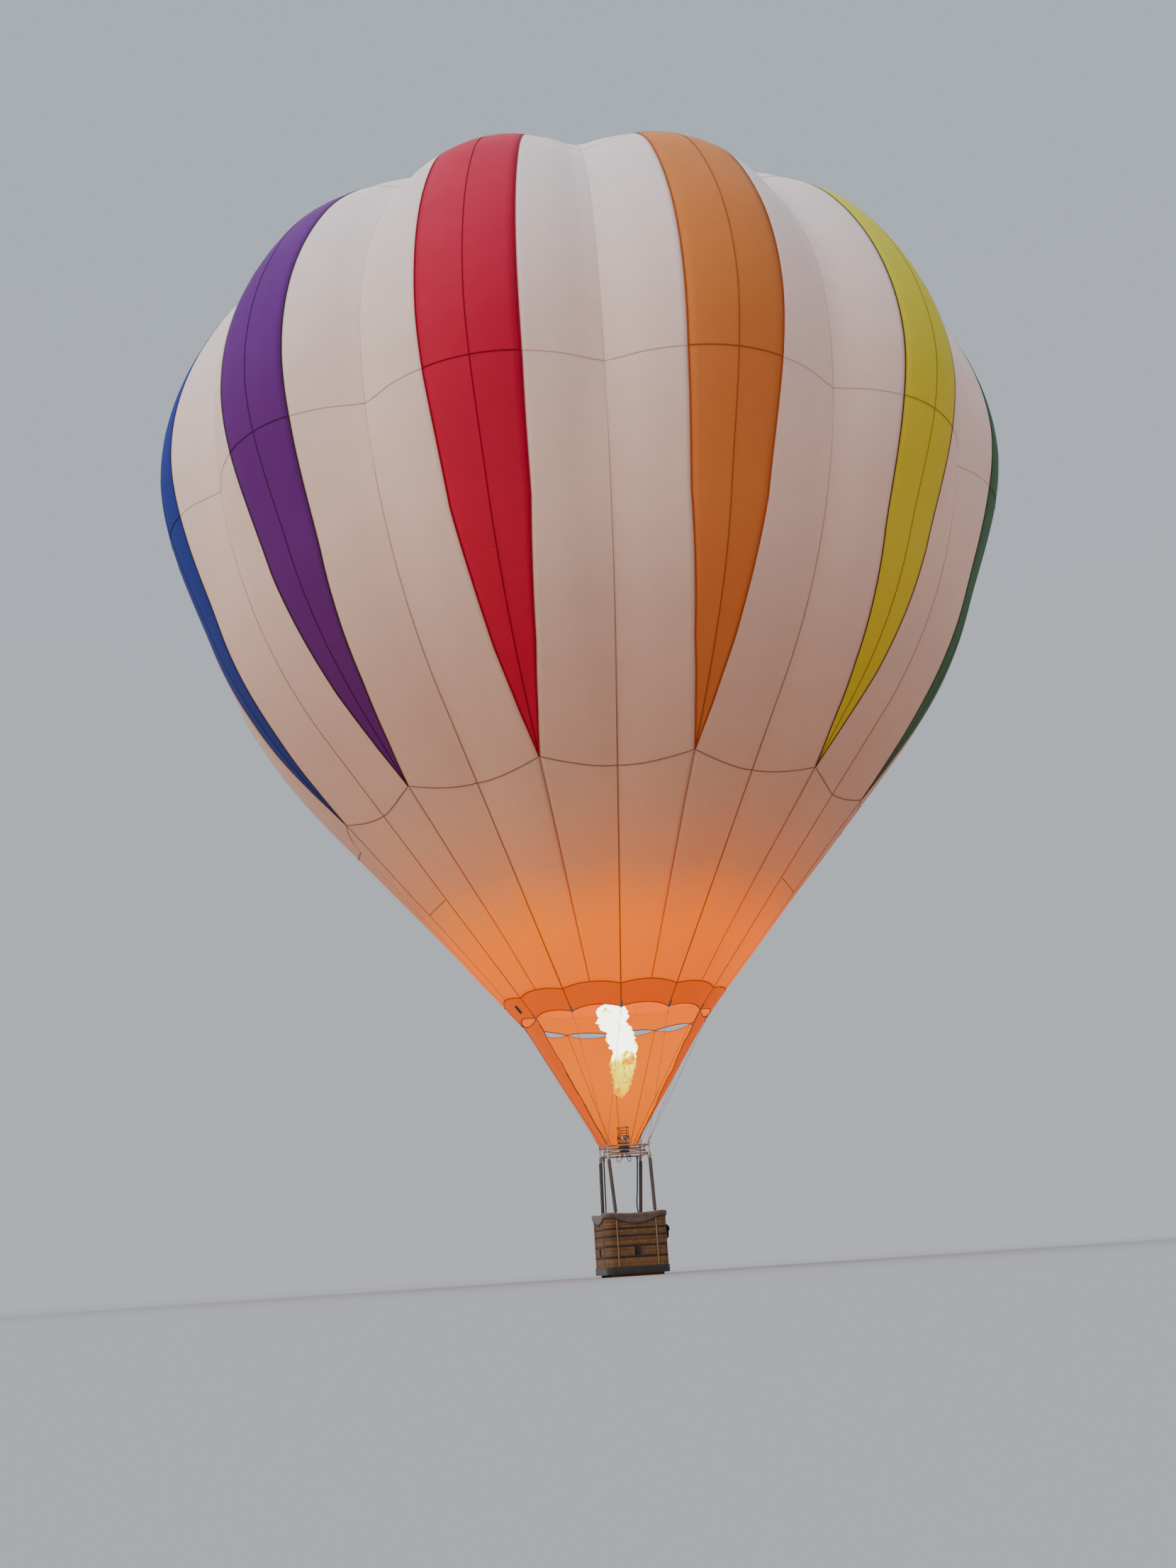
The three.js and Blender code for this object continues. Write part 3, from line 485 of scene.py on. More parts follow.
def node_group(name, **entries):
    """Make a node group of a function that works the group's inputs into its outputs"""
    def build(work):
        tree = bpy.data.node_groups.new(name, "ShaderNodeTree")
        for label, default in entries.items():
            kind = "NodeSocketColor" if isinstance(default, tuple) else "NodeSocketFloat"
            tree.interface.new_socket(label, in_out="INPUT", socket_type=kind).default_value = default
        results = work(tree, tree.nodes.new("NodeGroupInput").outputs)
        for label, value in results.items():
            kind = "NodeSocketColor" if value.type == "RGBA" else "NodeSocketFloat"
            tree.interface.new_socket(label, in_out="OUTPUT", socket_type=kind)
        feed(tree, tree.nodes.new("NodeGroupOutput"), results)
        return tree
    return build


def grouped(tree, group, inputs=None):
    return put(tree, "Group", inputs, node_tree=group).outputs


@node_group("Ripstop weave", Pitch=0.006)
def ripstop(tree, given):
    """Fine ribs on the flat cloth, with a heavier thread every few millimetres"""
    place = put(tree, "SeparateXYZ", {0: cut_map(tree)})
    threads = []
    for axis in (0, 1):
        turn = sums(tree, "FRACT", sums(tree, "DIVIDE", place.outputs[axis], given["Pitch"]))
        threads.append(ranged(tree, sums(tree, "ABSOLUTE", sums(tree, "SUBTRACT", turn, 0.5)), 0.42, 0.48))
    grid = sums(tree, "MAXIMUM", *threads)
    return {"Height": grid, "Shade": sums(tree, "SUBTRACT", 1.0, sums(tree, "MULTIPLY", grid, 0.05))}


@node_group("Handling marks", Scale=1.0, Strength=0.1)
def handling(tree, given):
    """Soft uneven soiling and fading over a large piece"""
    broad = mottle(tree, given["Scale"], 3.0)
    fine = mottle(tree, sums(tree, "MULTIPLY", given["Scale"], 9.0), 4.0)
    blend = sums(tree, "ADD", sums(tree, "MULTIPLY", broad, 0.65), sums(tree, "MULTIPLY", fine, 0.35))
    spread = ranged(tree, blend, 0.32, 0.68)
    shade = sums(tree, "SUBTRACT", 1.0, sums(tree, "MULTIPLY", spread, given["Strength"]))
    return {"Shade": shade, "Spread": spread}


@node_group("Seam puckers", Pitch=9.0)
def puckers(tree, given):
    """Small puckers where cloth is gathered on a seam"""
    swing = put(tree, "Mapping", {"Vector": cut_map(tree), "Scale": (1.3, 5.0, 1.0)}).outputs[0]
    rough = put(tree, "TexNoise", {"Vector": swing, "Scale": given["Pitch"], "Detail": 2.0}).outputs[0]
    return {"Height": sums(tree, "MULTIPLY", rough, read(tree, "near_seam"))}


# What the burner's light does to white cloth, by share of glow: its tint, and the light that it gives off
GLOW_TINT = [(0.0, (1, 1, 1)), (0.03, (1, 0.95, 0.84)), (0.1, (1, 0.84, 0.64)), (0.2, (0.9, 0.66, 0.48)),
             (0.3, (0.78, 0.54, 0.37)), (0.37, (0.76, 0.5, 0.31)), (0.48, (0.74, 0.46, 0.22)),
             (0.62, (0.6, 0.42, 0.1)), (0.8, (0.4, 0.26, 0.01)), (1.0, (0.3, 0.16, 0))]
GLOW_LIGHT = [(0.0, (0, 0, 0)), (0.03, (0.1, 0.01, 0.01)), (0.1, (0.1, 0.015, 0.01)),
              (0.2, (0.07, 0.015, 0.01)), (0.3, (0.1, 0.015, 0)), (0.37, (0.17, 0.025, 0)),
              (0.48, (0.32, 0.04, 0)), (0.62, (0.7, 0.075, 0)), (0.8, (1.03, 0.14, 0)), (1.0, (1.06, 0.15, 0))]


@node_group("Burner light", Cloth=(1, 1, 1, 1), Share=1.0)
def burner_light(tree, given):
    """The burner's light in the cloth, by the mark that says how near the mouth is"""
    glow = sums(tree, "MULTIPLY", read(tree, "glow"), given["Share"])
    return {"Lit cloth": mixed(tree, 1.0, given["Cloth"], ramped(tree, glow, GLOW_TINT), "MULTIPLY"),
            "Light": mixed(tree, 1.0, ramped(tree, glow, GLOW_LIGHT), given["Cloth"], "MULTIPLY")}


@node_group("Rubbed marks", Scale=30.0)
def rubbed(tree, given):
    """Fine rubbing and scratches on worked surfaces"""
    fine = mottle(tree, given["Scale"], 6.0, (1.0, 1.0, 0.15))
    broad = mottle(tree, sums(tree, "MULTIPLY", given["Scale"], 0.2))
    return {"Marks": ranged(tree, sums(tree, "MULTIPLY", fine, broad), 0.18, 0.36), "Height": fine}


@node_group("Hide grain", Scale=260.0)
def pebbled(tree, given):
    """Pebbled grain of hide"""
    spot = put(tree, "TexCoord").outputs["Object"]
    cells = put(tree, "TexVoronoi", {"Vector": spot, "Scale": given["Scale"]}, feature="DISTANCE_TO_EDGE")
    return {"Height": ranged(tree, cells.outputs[0], 0.0, 0.12),
            "Nap": ranged(tree, mottle(tree, 14.0, 5.0), 0.3, 0.7)}


@node_group("Willow strands", Course=0.0147)
def strands(tree, given):
    """Each course of the weave has its own tone, fibres run along it, and four bands are dark"""
    spot = put(tree, "TexCoord").outputs["Object"]
    height = sums(tree, "ADD", put(tree, "SeparateXYZ", {0: spot}).outputs[2], LIFT_CENTRE)
    above_foot = sums(tree, "SUBTRACT", height, 0.0407)
    course = sums(tree, "FLOOR", sums(tree, "DIVIDE", above_foot, given["Course"]))
    own = put(tree, "TexWhiteNoise", {"W": course}, noise_dimensions="1D").outputs[0]
    along = sums(tree, "MULTIPLY", mottle(tree, 16.0, 3.0), 0.6)
    band = 0.0
    for level in (0.813, 0.687, 0.514, 0.329):
        off = sums(tree, "ABSOLUTE", sums(tree, "SUBTRACT", height, level))
        band = sums(tree, "MAXIMUM", band, ranged(tree, off, 0.017, 0.021, 1.0, 0.0))
    return {"Tone": sums(tree, "ADD", sums(tree, "MULTIPLY", own, 0.4), along),
            "Height": mottle(tree, 90.0, 4.0, (1, 1, 9)), "Band": band}


def blank(name):
    """Begin a finish: a material with only its shader. Returns tree and shader"""
    made = FINISH[name] = bpy.data.materials.new(name)
    made.use_nodes = True
    tree = made.node_tree
    tree.nodes.clear()
    shader = put(tree, "BsdfPrincipled")
    put(tree, "OutputMaterial", {"Surface": shader.outputs[0]})
    return tree, shader


def burner_lit(tree, cloth, share=1.0):
    """What the shader takes for cloth with the burner's light in it"""
    light = grouped(tree, burner_light, {"Cloth": cloth, "Share": share})
    return {"Base Color": light["Lit cloth"], "Emission Color": light["Light"], "Emission Strength": 1.5}


def envelope_cloth(name, tone=None, lit=1.0):
    """Coated balloon cloth, in one tone or in the tone marked on its points"""
    tree, shader = blank(name)
    threads = grouped(tree, ripstop, {"Pitch": 0.012})
    marks = grouped(tree, handling, {"Scale": 0.45, "Strength": 0.07})
    cloth = shade_by(tree, tone or read(tree, "tone", "Color"), threads["Shade"], marks["Shade"])
    ribs = sums(tree, "MULTIPLY", threads["Height"], 0.02)
    height = sums(tree, "ADD", ribs, grouped(tree, puckers)["Height"])
    feed(tree, shader, {**burner_lit(tree, cloth, lit), "Specular IOR Level": 0.12,
                        "Roughness": ranged(tree, marks["Spread"], 0, 1, 0.62, 0.74),
                        "Normal": relief(tree, height, 0.02, 0.6)})


def sewn_tape(name):
    """Seam tape: the tone of the cloth under it, dimmed, partly as painted shade, with the burner's light"""
    tree, shader = blank(name)
    marks = grouped(tree, handling, {"Scale": 3.0, "Strength": 0.12})
    cloth = shade_by(tree, read(tree, "tone", "Color"), marks["Shade"])
    feed(tree, shader, {**burner_lit(tree, cloth), "Roughness": 0.8, "Specular IOR Level": 0.1,
                        "Normal": relief(tree, mottle(tree, 300.0), 0.0006, 0.4)})


def metal(name, tone, worn, low, high, metallic=0.9, scale=30.0):
    tree, shader = blank(name)
    marks = grouped(tree, rubbed, {"Scale": scale})
    feed(tree, shader, {"Base Color": mixed(tree, marks["Marks"], colour(*tone), colour(*worn)),
                        "Roughness": ranged(tree, marks["Marks"], 0, 1, low, high), "Metallic": metallic,
                        "Normal": relief(tree, marks["Height"], 0.0006, 0.3)})


def hide(name, tone, worn, roughness):
    tree, shader = blank(name)
    grain = grouped(tree, pebbled)
    marks = grouped(tree, handling, {"Scale": 3.5, "Strength": 0.35})
    nap = mixed(tree, grain["Nap"], colour(*tone), colour(*worn))
    feed(tree, shader, {"Base Color": shade_by(tree, nap, marks["Shade"]), "Sheen Weight": 0.25,
                        "Roughness": ranged(tree, grain["Nap"], 0, 1, roughness, roughness + 0.1),
                        "Normal": relief(tree, grain["Height"], 0.0012, 0.5)})


def willow(name, tone, pale, dark):
    tree, shader = blank(name)
    weave = grouped(tree, strands)
    marks = grouped(tree, handling, {"Scale": 2.5, "Strength": 0.3})
    body = mixed(tree, ranged(tree, weave["Tone"], 0.3, 0.75), colour(*tone), colour(*pale))
    banded = mixed(tree, weave["Band"], body, colour(*dark))
    feed(tree, shader, {"Base Color": shade_by(tree, banded, marks["Shade"]),
                        "Roughness": ranged(tree, weave["Tone"], 0.3, 0.75, 0.5, 0.68),
                        "Coat Weight": 0.15, "Coat Roughness": 0.35,
                        "Normal": relief(tree, weave["Height"], 0.0012, 0.5)})


def timber(name, tone, dark, stretch):
    tree, shader = blank(name)
    rings = mottle(tree, 22.0, 6.0, stretch, 0.6)
    figure = ranged(tree, rings, 0.3, 0.7)
    marks = grouped(tree, handling, {"Scale": 5.0, "Strength": 0.3})
    wood = mixed(tree, figure, colour(*tone), colour(*dark))
    feed(tree, shader, {"Base Color": shade_by(tree, wood, marks["Shade"]),
                        "Roughness": ranged(tree, figure, 0, 1, 0.55, 0.75),
                        "Normal": relief(tree, rings, 0.001, 0.4)})


def rubber(name, tone, roughness):
    tree, shader = blank(name)
    marks = grouped(tree, handling, {"Scale": 8.0, "Strength": 0.3})
    feed(tree, shader, {"Base Color": shade_by(tree, colour(*tone), marks["Shade"]),
                        "Roughness": ranged(tree, marks["Spread"], 0, 1, roughness, roughness + 0.15),
                        "Normal": relief(tree, mottle(tree, 420.0), 0.0005, 0.4)})


def webbing(name, tone, edge, width=0.03):
    """Woven strap with ribs across it and darker selvedges"""
    tree, shader = blank(name)
    place = cut_map(tree)
    aside = sums(tree, "SUBTRACT", put(tree, "SeparateXYZ", {0: place}).outputs[0], width / 2)
    selvedge = ranged(tree, sums(tree, "ABSOLUTE", aside), width * 0.36, width * 0.42)
    rib = put(tree, "TexWave", {"Vector": place, "Scale": 90.0}, bands_direction="Y").outputs[1]
    marks = grouped(tree, handling, {"Scale": 6.0, "Strength": 0.25})
    cloth = mixed(tree, selvedge, colour(*tone), colour(*edge))
    feed(tree, shader, {"Base Color": shade_by(tree, cloth, marks["Shade"]),
                        "Roughness": ranged(tree, marks["Spread"], 0, 1, 0.65, 0.8),
                        "Normal": relief(tree, rib, 0.0008, 0.5)})


CLOTH_TONES = {
    "white": (0.8, 0.68, 0.67, 1),
    "orange": (0.6, 0.19, 0.045, 1),
    "yellow": (0.62, 0.57, 0.035, 1),
    "green": (0.05, 0.14, 0.07, 1),
    "blue": (0.02, 0.035, 0.26, 1),
    "purple": (0.115, 0.016, 0.2, 1),
    "red": (0.49, 0.0088, 0.047, 1),
}
EDGE_TONES = {
    "orange": (0.36, 0.09, 0.02, 1),
    "yellow": (0.045, 0.04, 0.012, 1),
    "green": (0.01, 0.02, 0.012, 1),
    "blue": (0.005, 0.008, 0.03, 1),
    "purple": (0.025, 0.018, 0.03, 1),
    "red": (0.3, 0.006, 0.028, 1),
}
# The band is one cloth: its redder outside tone is painted shade, its lighter inside tone is painted burner
# light
BAND_OUTSIDE_SHADED, BAND_INSIDE_LIT = (0.57, 0.37, 0.0, 1), (0.69, 0.68, 0.0, 1)
# Dark tone of the scoop's seams and binding; on the seams it is painted shadow of the wires seen through the
# cloth
SCOOP_TRIM_AND_WIRE_SHADOW_TONE = (0.11, 0.055, 0.008, 1)
# How much of white cloth's tone a seam keeps, by place: pale at the crown, dark on the cone, where the
# darkening is painted shade of the seam against the burner's light in the cloth
SEAM_KEEPS_WITH_CONE_SHADE = [(0.1, 0.3), (0.5, 0.36), (0.8, 0.42), (1.2, 0.55), (1.6, 0.72), (1.8, 0.8),
              (2.1, 0.86), (3, 0.88)]

for shade, cloth_tone in CLOTH_TONES.items():
    envelope_cloth(f"{shade}_cloth", cloth_tone, 1.0 if shade == "white" else 0.5)
envelope_cloth("band_cloth")
sewn_tape("seam_tape")
metal("wire", (176, 150, 132), (120, 98, 84), 0.35, 0.55, 0.7)
metal("frame_steel", (184, 162, 146), (152, 131, 117), 0.3, 0.46)
metal("burner_steel", (172, 140, 112), (112, 82, 66), 0.3, 0.5)
metal("coil_steel", (196, 160, 120), (128, 86, 66), 0.25, 0.45)
metal("valve_brass", (92, 80, 70), (50, 44, 42), 0.35, 0.55, 0.75)
metal("tank_metal", (170, 170, 168), (130, 130, 130), 0.3, 0.5, 0.85, 12.0)
hide("padded_cover", (72, 60, 54), (92, 80, 72), 0.8)
hide("hide", (82, 64, 55), (112, 92, 80), 0.82)
hide("dark_hide", (34, 26, 24), (54, 44, 40), 0.75)
willow("wicker", (100, 66, 33), (152, 108, 58), (50, 33, 20))
timber("floor_ply", (168, 132, 90), (128, 94, 58), (1.0, 6.0, 1.0))
timber("runner_wood", (138, 104, 68), (96, 68, 42), (0.6, 6.0, 6.0))
rubber("hose_rubber", (34, 32, 32), 0.5)
rubber("hose_orange", (150, 74, 36), 0.5)
rubber("pouch_cloth", (36, 32, 34), 0.75)
webbing("webbing", (150, 118, 84), (52, 36, 26))
webbing("grey_webbing", (142, 134, 126), (110, 102, 96))


def dress(piece, finish, *nodes, slot=None, body="root"):
    """Lower a finished piece to its place, give it its finish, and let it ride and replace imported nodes"""
    piece.location = LOWERING
    settle(piece)
    piece.data.materials.clear()
    piece.data.materials.append(FINISH[finish])
    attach(piece, body)
    if nodes:
        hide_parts(*nodes)
    return piece


# Envelope pieces

CLOTH_MARKS = ("cut", "glow", "near_seam")


def seam_nearness(distance, reach=0.45):
    return max(0.0, 1 - distance / reach) ** 2


def white_across(share, place):
    """Where a share of the white's width lies across the gore, counted from the coloured edge"""
    edge = white_half(place)
    return edge + (1 - edge) * share


def white_panel(cusp):
    """White cloth on both sides of one load tape"""
    halves, deep = 14, 190
    columns = [(cusp - 1, 1, i / halves) for i in range(halves)]
    columns += [(cusp, -1, i / halves) for i in range(halves, -1, -1)]
    top = length_at(VENT_PLACE)
    rows = []
    for i in range(deep + 1):
        row = []
        for gore, side, share in columns:
            place = band_top_place(share)
            for _ in range(2):
                low = length_at(band_top_place(white_across(share, place))) + 0.002
                place = place_at(low + (top - low) * i / deep)
            across = white_across(share, place)
            off = (1 - across) * half_width(place)
            near = max(seam_nearness(off), 0.5 * seam_nearness(abs(place - 0.78) * 6, 0.5))
            row.append((skin(gore, side * across, place), (-side * off, length_at(place)),
                        glow_at(place), near))
        rows.append(row)
    piece = thickened(smooth(laid(f"white_panel_{cusp:02d}", rows, *CLOTH_MARKS), 24))
    return dress(piece, "white_cloth", f"panel_white_{cusp:02d}")


def colour_panel(gore):
    """Coloured teardrop down the middle of one gore"""
    wide, shade, side = 10, GORE_COLOURS[gore % 6], "ab"[gore // 6]
    rows = []
    for place in places(TIP_PLACE + 0.003, VENT_PLACE, 170):
        edge, half, length, glow = white_half(place), half_width(place), length_at(place), glow_at(place)
        rows.append([(skin(gore, across, place), (across * half, length), glow,
                      0.6 * seam_nearness(min(abs(across), edge - abs(across)) * half, 0.2))
                     for across in [edge * (2 * j / wide - 1) for j in range(wide + 1)]])
    piece = thickened(smooth(laid(f"{shade}_panel_{side}", rows, *CLOTH_MARKS), 60))
    return dress(piece, f"{shade}_cloth", f"panel_{shade}_{side}")


def cut_size(first, share_of):
    """Flat area, widest width and length of a panel, from where it begins and its share of the gore"""
    area = widest = 0.0
    step = (VENT_PLACE - first) / 300
    for i in range(300):
        place = first + step * (i + 0.5)
        width = 2 * share_of(place) * half_width(place)
        area += (length_at(place + step / 2) - length_at(place - step / 2)) * width
        widest = max(widest, width)
    return area, widest, length_at(VENT_PLACE) - length_at(first)


def sew_panels(make, first, share_of):
    """Make twelve panels"""
    area, width, length = cut_size(first, share_of)
    for number in range(GORES):
        make(number)


sew_panels(white_panel, 0.13, lambda place: 1 - white_half(place))
sew_panels(colour_panel, TIP_PLACE, white_half)


def seam_tone_and_shade(shade, place):
    """The tone of a plain seam: half of its cloth's on colour, and by place on white, darker on the cone as
    painted shade
    """
    keeps = between(SEAM_KEEPS_WITH_CONE_SHADE, place) if shade == "white" else 0.5
    return *(part * keeps for part in CLOTH_TONES[shade][:3]), 1.0


def strip(spots, width, shade, lift=0.006, edge=False):
    """A tape sewn on the envelope along (gore, across, place) spots, or a panel's edge tape"""
    middles = [skin(*spot, lift) for spot in spots]
    rows = []
    for i, (gore, across, place) in enumerate(spots):
        ahead = middles[min(i + 1, len(spots) - 1)] - middles[max(i - 1, 0)]
        outward = skin(gore, across, place, lift + 0.02) - middles[i]
        aside = ahead.cross(outward).normalized() * (width / 2)
        looks = glow_at(place), EDGE_TONES[shade] if edge else seam_tone_and_shade(shade, place)
        rows.append([(middles[i] - aside, *looks), (middles[i] + aside, *looks)])
    return thickened(smooth(laid("strip", rows, "glow", "tone"), 60), 0.0016, 0.0)


def load_tape(cusp):
    """Webbing in the valley between two gores, folded along its middle"""
    rows = []
    for place in places(LIP_PLACE, VENT_PLACE, 150):
        half = 0.013 / half_width(place)
        looks = glow_at(place), seam_tone_and_shade("white", place)
        rows.append([(skin(gore, across, place, 0.005), *looks)
                     for gore, across in ((cusp - 1, 1 - half), (cusp, -1), (cusp, half - 1))])
    return thickened(smooth(laid("load_tape", rows, "glow", "tone"), 60), 0.002, 0.0)


def ring_seam(name, place_of, width=0.02):
    """Level seam round the gores at place_of(across), in one run for each cloth that it crosses"""
    cuts = [-1 + i / 12 for i in range(25)]
    runs = [(-1.0, 1.0)]
    edge = white_half(place_of(0.3))
    if edge > 0.02:
        cuts = sorted(cuts + [side * edge + gap for side in (-1, 1) for gap in (-0.002, 0.002)])
        runs = [(-1.0, -edge - 0.001), (0.001 - edge, edge - 0.001), (edge + 0.001, 1.0)]
    parts = []
    for gore in range(GORES):
        for first, last in runs:
            middle = (first + last) / 2
            coloured = abs(middle) < white_half(place_of(middle))
            spots = [(gore, across, place_of(across)) for across in cuts if first <= across <= last]
            if len(spots) > 1:
                parts.append(strip(spots, width, GORE_COLOURS[gore % 6] if coloured else "white"))
    return dress(joined(name, parts), "seam_tape", slot="webbing")


def cone_joins():
    """Short level seams where lengths of cloth meet on the cone"""
    parts = []
    for gore, start, end, place in ((9, 0.02, 0.97, 0.465), (2, -0.97, -0.02, 0.48), (8, -0.97, -0.02, 0.48),
                                    (3, 0.02, 0.97, 0.465)):
        spots = [(gore, start + (end - start) * i / 12, place) for i in range(13)]
        parts.append(strip(spots, 0.014, "white"))
    return parts


def gore_seams(gore):
    """Edge tapes and centre seam of one coloured panel, and the centre seam below its tip"""
    shade = GORE_COLOURS[gore % 6]
    above = places(TIP_PLACE, VENT_PLACE, 170)
    below = places(BAND_TOP_PLACE + BAND_TOP_RISE, TIP_PLACE, 40)
    edges = [strip([(gore, side * white_half(place), place) for place in above], 0.022, shade, 0.0085, True)
             for side in (-1, 1)]
    return edges + [strip([(gore, 0.0, place) for place in above], 0.016, shade, 0.0065),
                    strip([(gore, 0.0, place) for place in below], 0.016, "white")]


dress(joined("load_tapes", [load_tape(cusp) for cusp in range(GORES)]), "seam_tape", slot="webbing")
ring_seam("upper_seam", bowed(1.798, 0.024))
ring_seam("lower_seam", lambda across: 0.748 + (TIP_PLACE - 0.748) * (1 - abs(across)) ** 1.3)
ring_seam("crown_seam", bowed(2.47, 0.012))
dress(joined("cone_joins", cone_joins()), "seam_tape", slot="webbing")
panel_seams = [part for gore in range(GORES) for part in gore_seams(gore)]
dress(joined("panel_seams", panel_seams), "seam_tape", slot="webbing")


# Mouth band, scoop and wires

def lit_and_shaded_sides(piece):
    """Mark a thickened sheet with painted light and shade on each side: redder outside as painted shade,
    lighter inside as painted burner light
    """
    outside = [point.normal.dot(Vector((*point.co.xy, 0))) > 0 for point in piece.data.vertices]
    mark(piece.data, "tone", [BAND_OUTSIDE_SHADED if out else BAND_INSIDE_LIT for out in outside])
    return piece


def mouth_band():
    """Flame-proof band with a scalloped lip"""
    per, deep = 16, 10
    rows = []
    for i in range(deep + 1):
        share = i / deep
        row = []
        for column in range(GORES * per + 1):
            gore, across = column // per % GORES, -1 + 2 * (column % per) / per
            place = lip_place(across) + (band_top_place(across) - lip_place(across)) * share
            belly = 0.012 * math.sin(math.pi * share) * (1 - across * across)
            half = half_width(place)
            near = seam_nearness((1 - abs(across)) * half, 0.12) + 0.4 * seam_nearness(share * 0.4, 0.1)
            row.append((skin(gore, across, place, belly + 0.001, False),
                        (2 * column / per * half, length_at(place)), 0.97 + 0.03 * share, near))
        rows.append(row)
    piece = thickened(smooth(closed(laid("mouth_band_cloth", rows, *CLOTH_MARKS), turn=False), 30))
    dress(lit_and_shaded_sides(piece), "band_cloth", "mouth_band")


def marked(piece, tone, glow):
    """Give every point of a piece one tone and one share of burner light"""
    count = len(piece.data.vertices)
    mark(piece.data, "tone", [tone] * count)
    mark(piece.data, "glow", [glow] * count)
    return piece


def lip_binding():
    turns = [(column // 16, -1 + 2 * (column % 16) / 16) for column in range(GORES * 16)]
    spots = [skin(gore, across, lip_place(across), -0.001, False) for gore, across in turns]
    return marked(tube(spots, 0.008, 1, True, "lip_binding"), colour(96, 40, 14), 0.6)


def lip_tabs():
    """Webbing tabs over the lip where the load tapes end"""
    parts = []
    for cusp in range(GORES):
        angle = GORE_PHASE + cusp * GORE_STEP
        aside = Vector((math.cos(angle), math.sin(angle), 0))
        spots = [skin(cusp, -1, LIP_PLACE - 0.0015 + 0.021 * i / 6, 0.0155, False) for i in range(7)]
        fold = skin(cusp, -1, LIP_PLACE + 0.0004, 0.0195, False)
        parts += [strap(spots, aside, 0.05, 0.004),
                  tube([fold - aside * 0.024, fold + aside * 0.024], 0.0045, 1)]
    return joined("lip_tabs", parts)


def blank_patch():
    """Plain dark patch sewn on the band"""
    rows = []
    for i in range(7):
        place = 0.0875 + 0.026 * i / 6
        rows.append([skin(9, 0.4 + (j / 6 - 0.5) * 0.1 / half_width(place), place, 0.0185, False)
                     for j in range(7)])
    return thickened(smooth(laid("blank_patch", rows), 60), 0.002, 0.0)


FRAME_HALF, FRAME_TUBE = 0.380, 0.016
FRAME_LOW, FRAME_TOP, PIVOT_HEIGHT = 2.115, 2.265, 2.190
# The scoop's foot by load tape: its run along the back rail, across the corner and down the left rail
SCOOP_FOOT = [(2, 0.024), (5, 0.140), (7, 0.480), (8, 0.704), (9, 0.960), (10, 1.373)]
BACK_RUN, CORNER_CUT = 0.63, 0.08


def scoop_foot(cusp):
    along = between(SCOOP_FOOT, cusp)
    height = FRAME_TOP + FRAME_TUBE + 0.002
    if along <= BACK_RUN:
        return Vector((0.33 - along, FRAME_HALF, height))
    diagonal = CORNER_CUT * math.sqrt(2)
    turn = min(1.0, (along - BACK_RUN) / diagonal) * CORNER_CUT
    past = max(0.0, along - BACK_RUN - diagonal)
    return Vector((CORNER_CUT - FRAME_HALF - turn, FRAME_HALF - turn - past, height))


def scoop_spot(cusp, share):
    """A point of the scoop: load tape number, and share of the way up from foot to lip"""
    whole = min(int(cusp), 9)
    part = cusp - whole
    low, high = [skin(number % GORES, -1, LIP_PLACE - 0.0002, 0.0, False) for number in (whole, whole + 1)]
    free = 4 * part * (1 - part)
    belly = math.sin(math.pi * share)
    spot = scoop_foot(cusp).lerp(low.lerp(high, part) - Vector((0, 0, 0.07 * free)), share)
    edge = max(0.0, 1 - min(cusp - 2, 10 - cusp) / 0.45)
    creases = 0.006 * math.sin(cusp * 9.4) * free
    creases += edge * (0.012 * math.sin(share * 21 + cusp) + 0.006 * math.sin(share * 47))
    return spot + Vector((*spot.xy, 0)).normalized() * (0.025 * belly * free + creases * abs(belly) ** 0.5)


def scoop():
    """Cloth from the lip down to the burner frame, open at the front"""
    columns = [2 + i / 10 for i in range(81)]
    rows = []
    for share in [i / 40 for i in range(41)]:
        wide, glow = 0.12 + 0.7 * share, 0.98 - 0.1 * (1 - share) ** 3
        rows.append([(scoop_spot(cusp, share), ((cusp - 6) * wide, 2.2 * share), glow,
                      seam_nearness(abs(cusp - round(cusp)) * wide, 0.12)) for cusp in columns])
    piece = thickened(smooth(laid("scoop_cloth", rows, *CLOTH_MARKS), 60))
    dress(lit_and_shaded_sides(piece), "band_cloth", "scoop")


def scoop_trim():
    """Seams up the scoop, dark as painted shadow of the wires behind the cloth, and a binding along its top
    edge
    """
    parts = []
    for cusp in range(2, 11):
        half = 0.006 if cusp in (2, 10) else 0.004
        rows = []
        for share in [0.01 + 0.98 * i / 40 for i in range(41)]:
            middle = scoop_spot(cusp, share)
            ahead = scoop_spot(cusp, min(1, share + 0.02)) - middle
            aside = ahead.cross(Vector((*middle.xy, 0)).normalized()).normalized() * half
            rows.append([middle - aside, middle + aside])
        parts.append(thickened(laid("scoop_seam", rows), 0.011, 0.0))
    for cusp in range(2, 10):
        parts.append(tube([scoop_spot(cusp + i / 12, 1.0) for i in range(13)], 0.007, 1))
    return marked(joined("scoop_trim", parts), SCOOP_TRIM_AND_WIRE_SHADOW_TONE, 0.75)


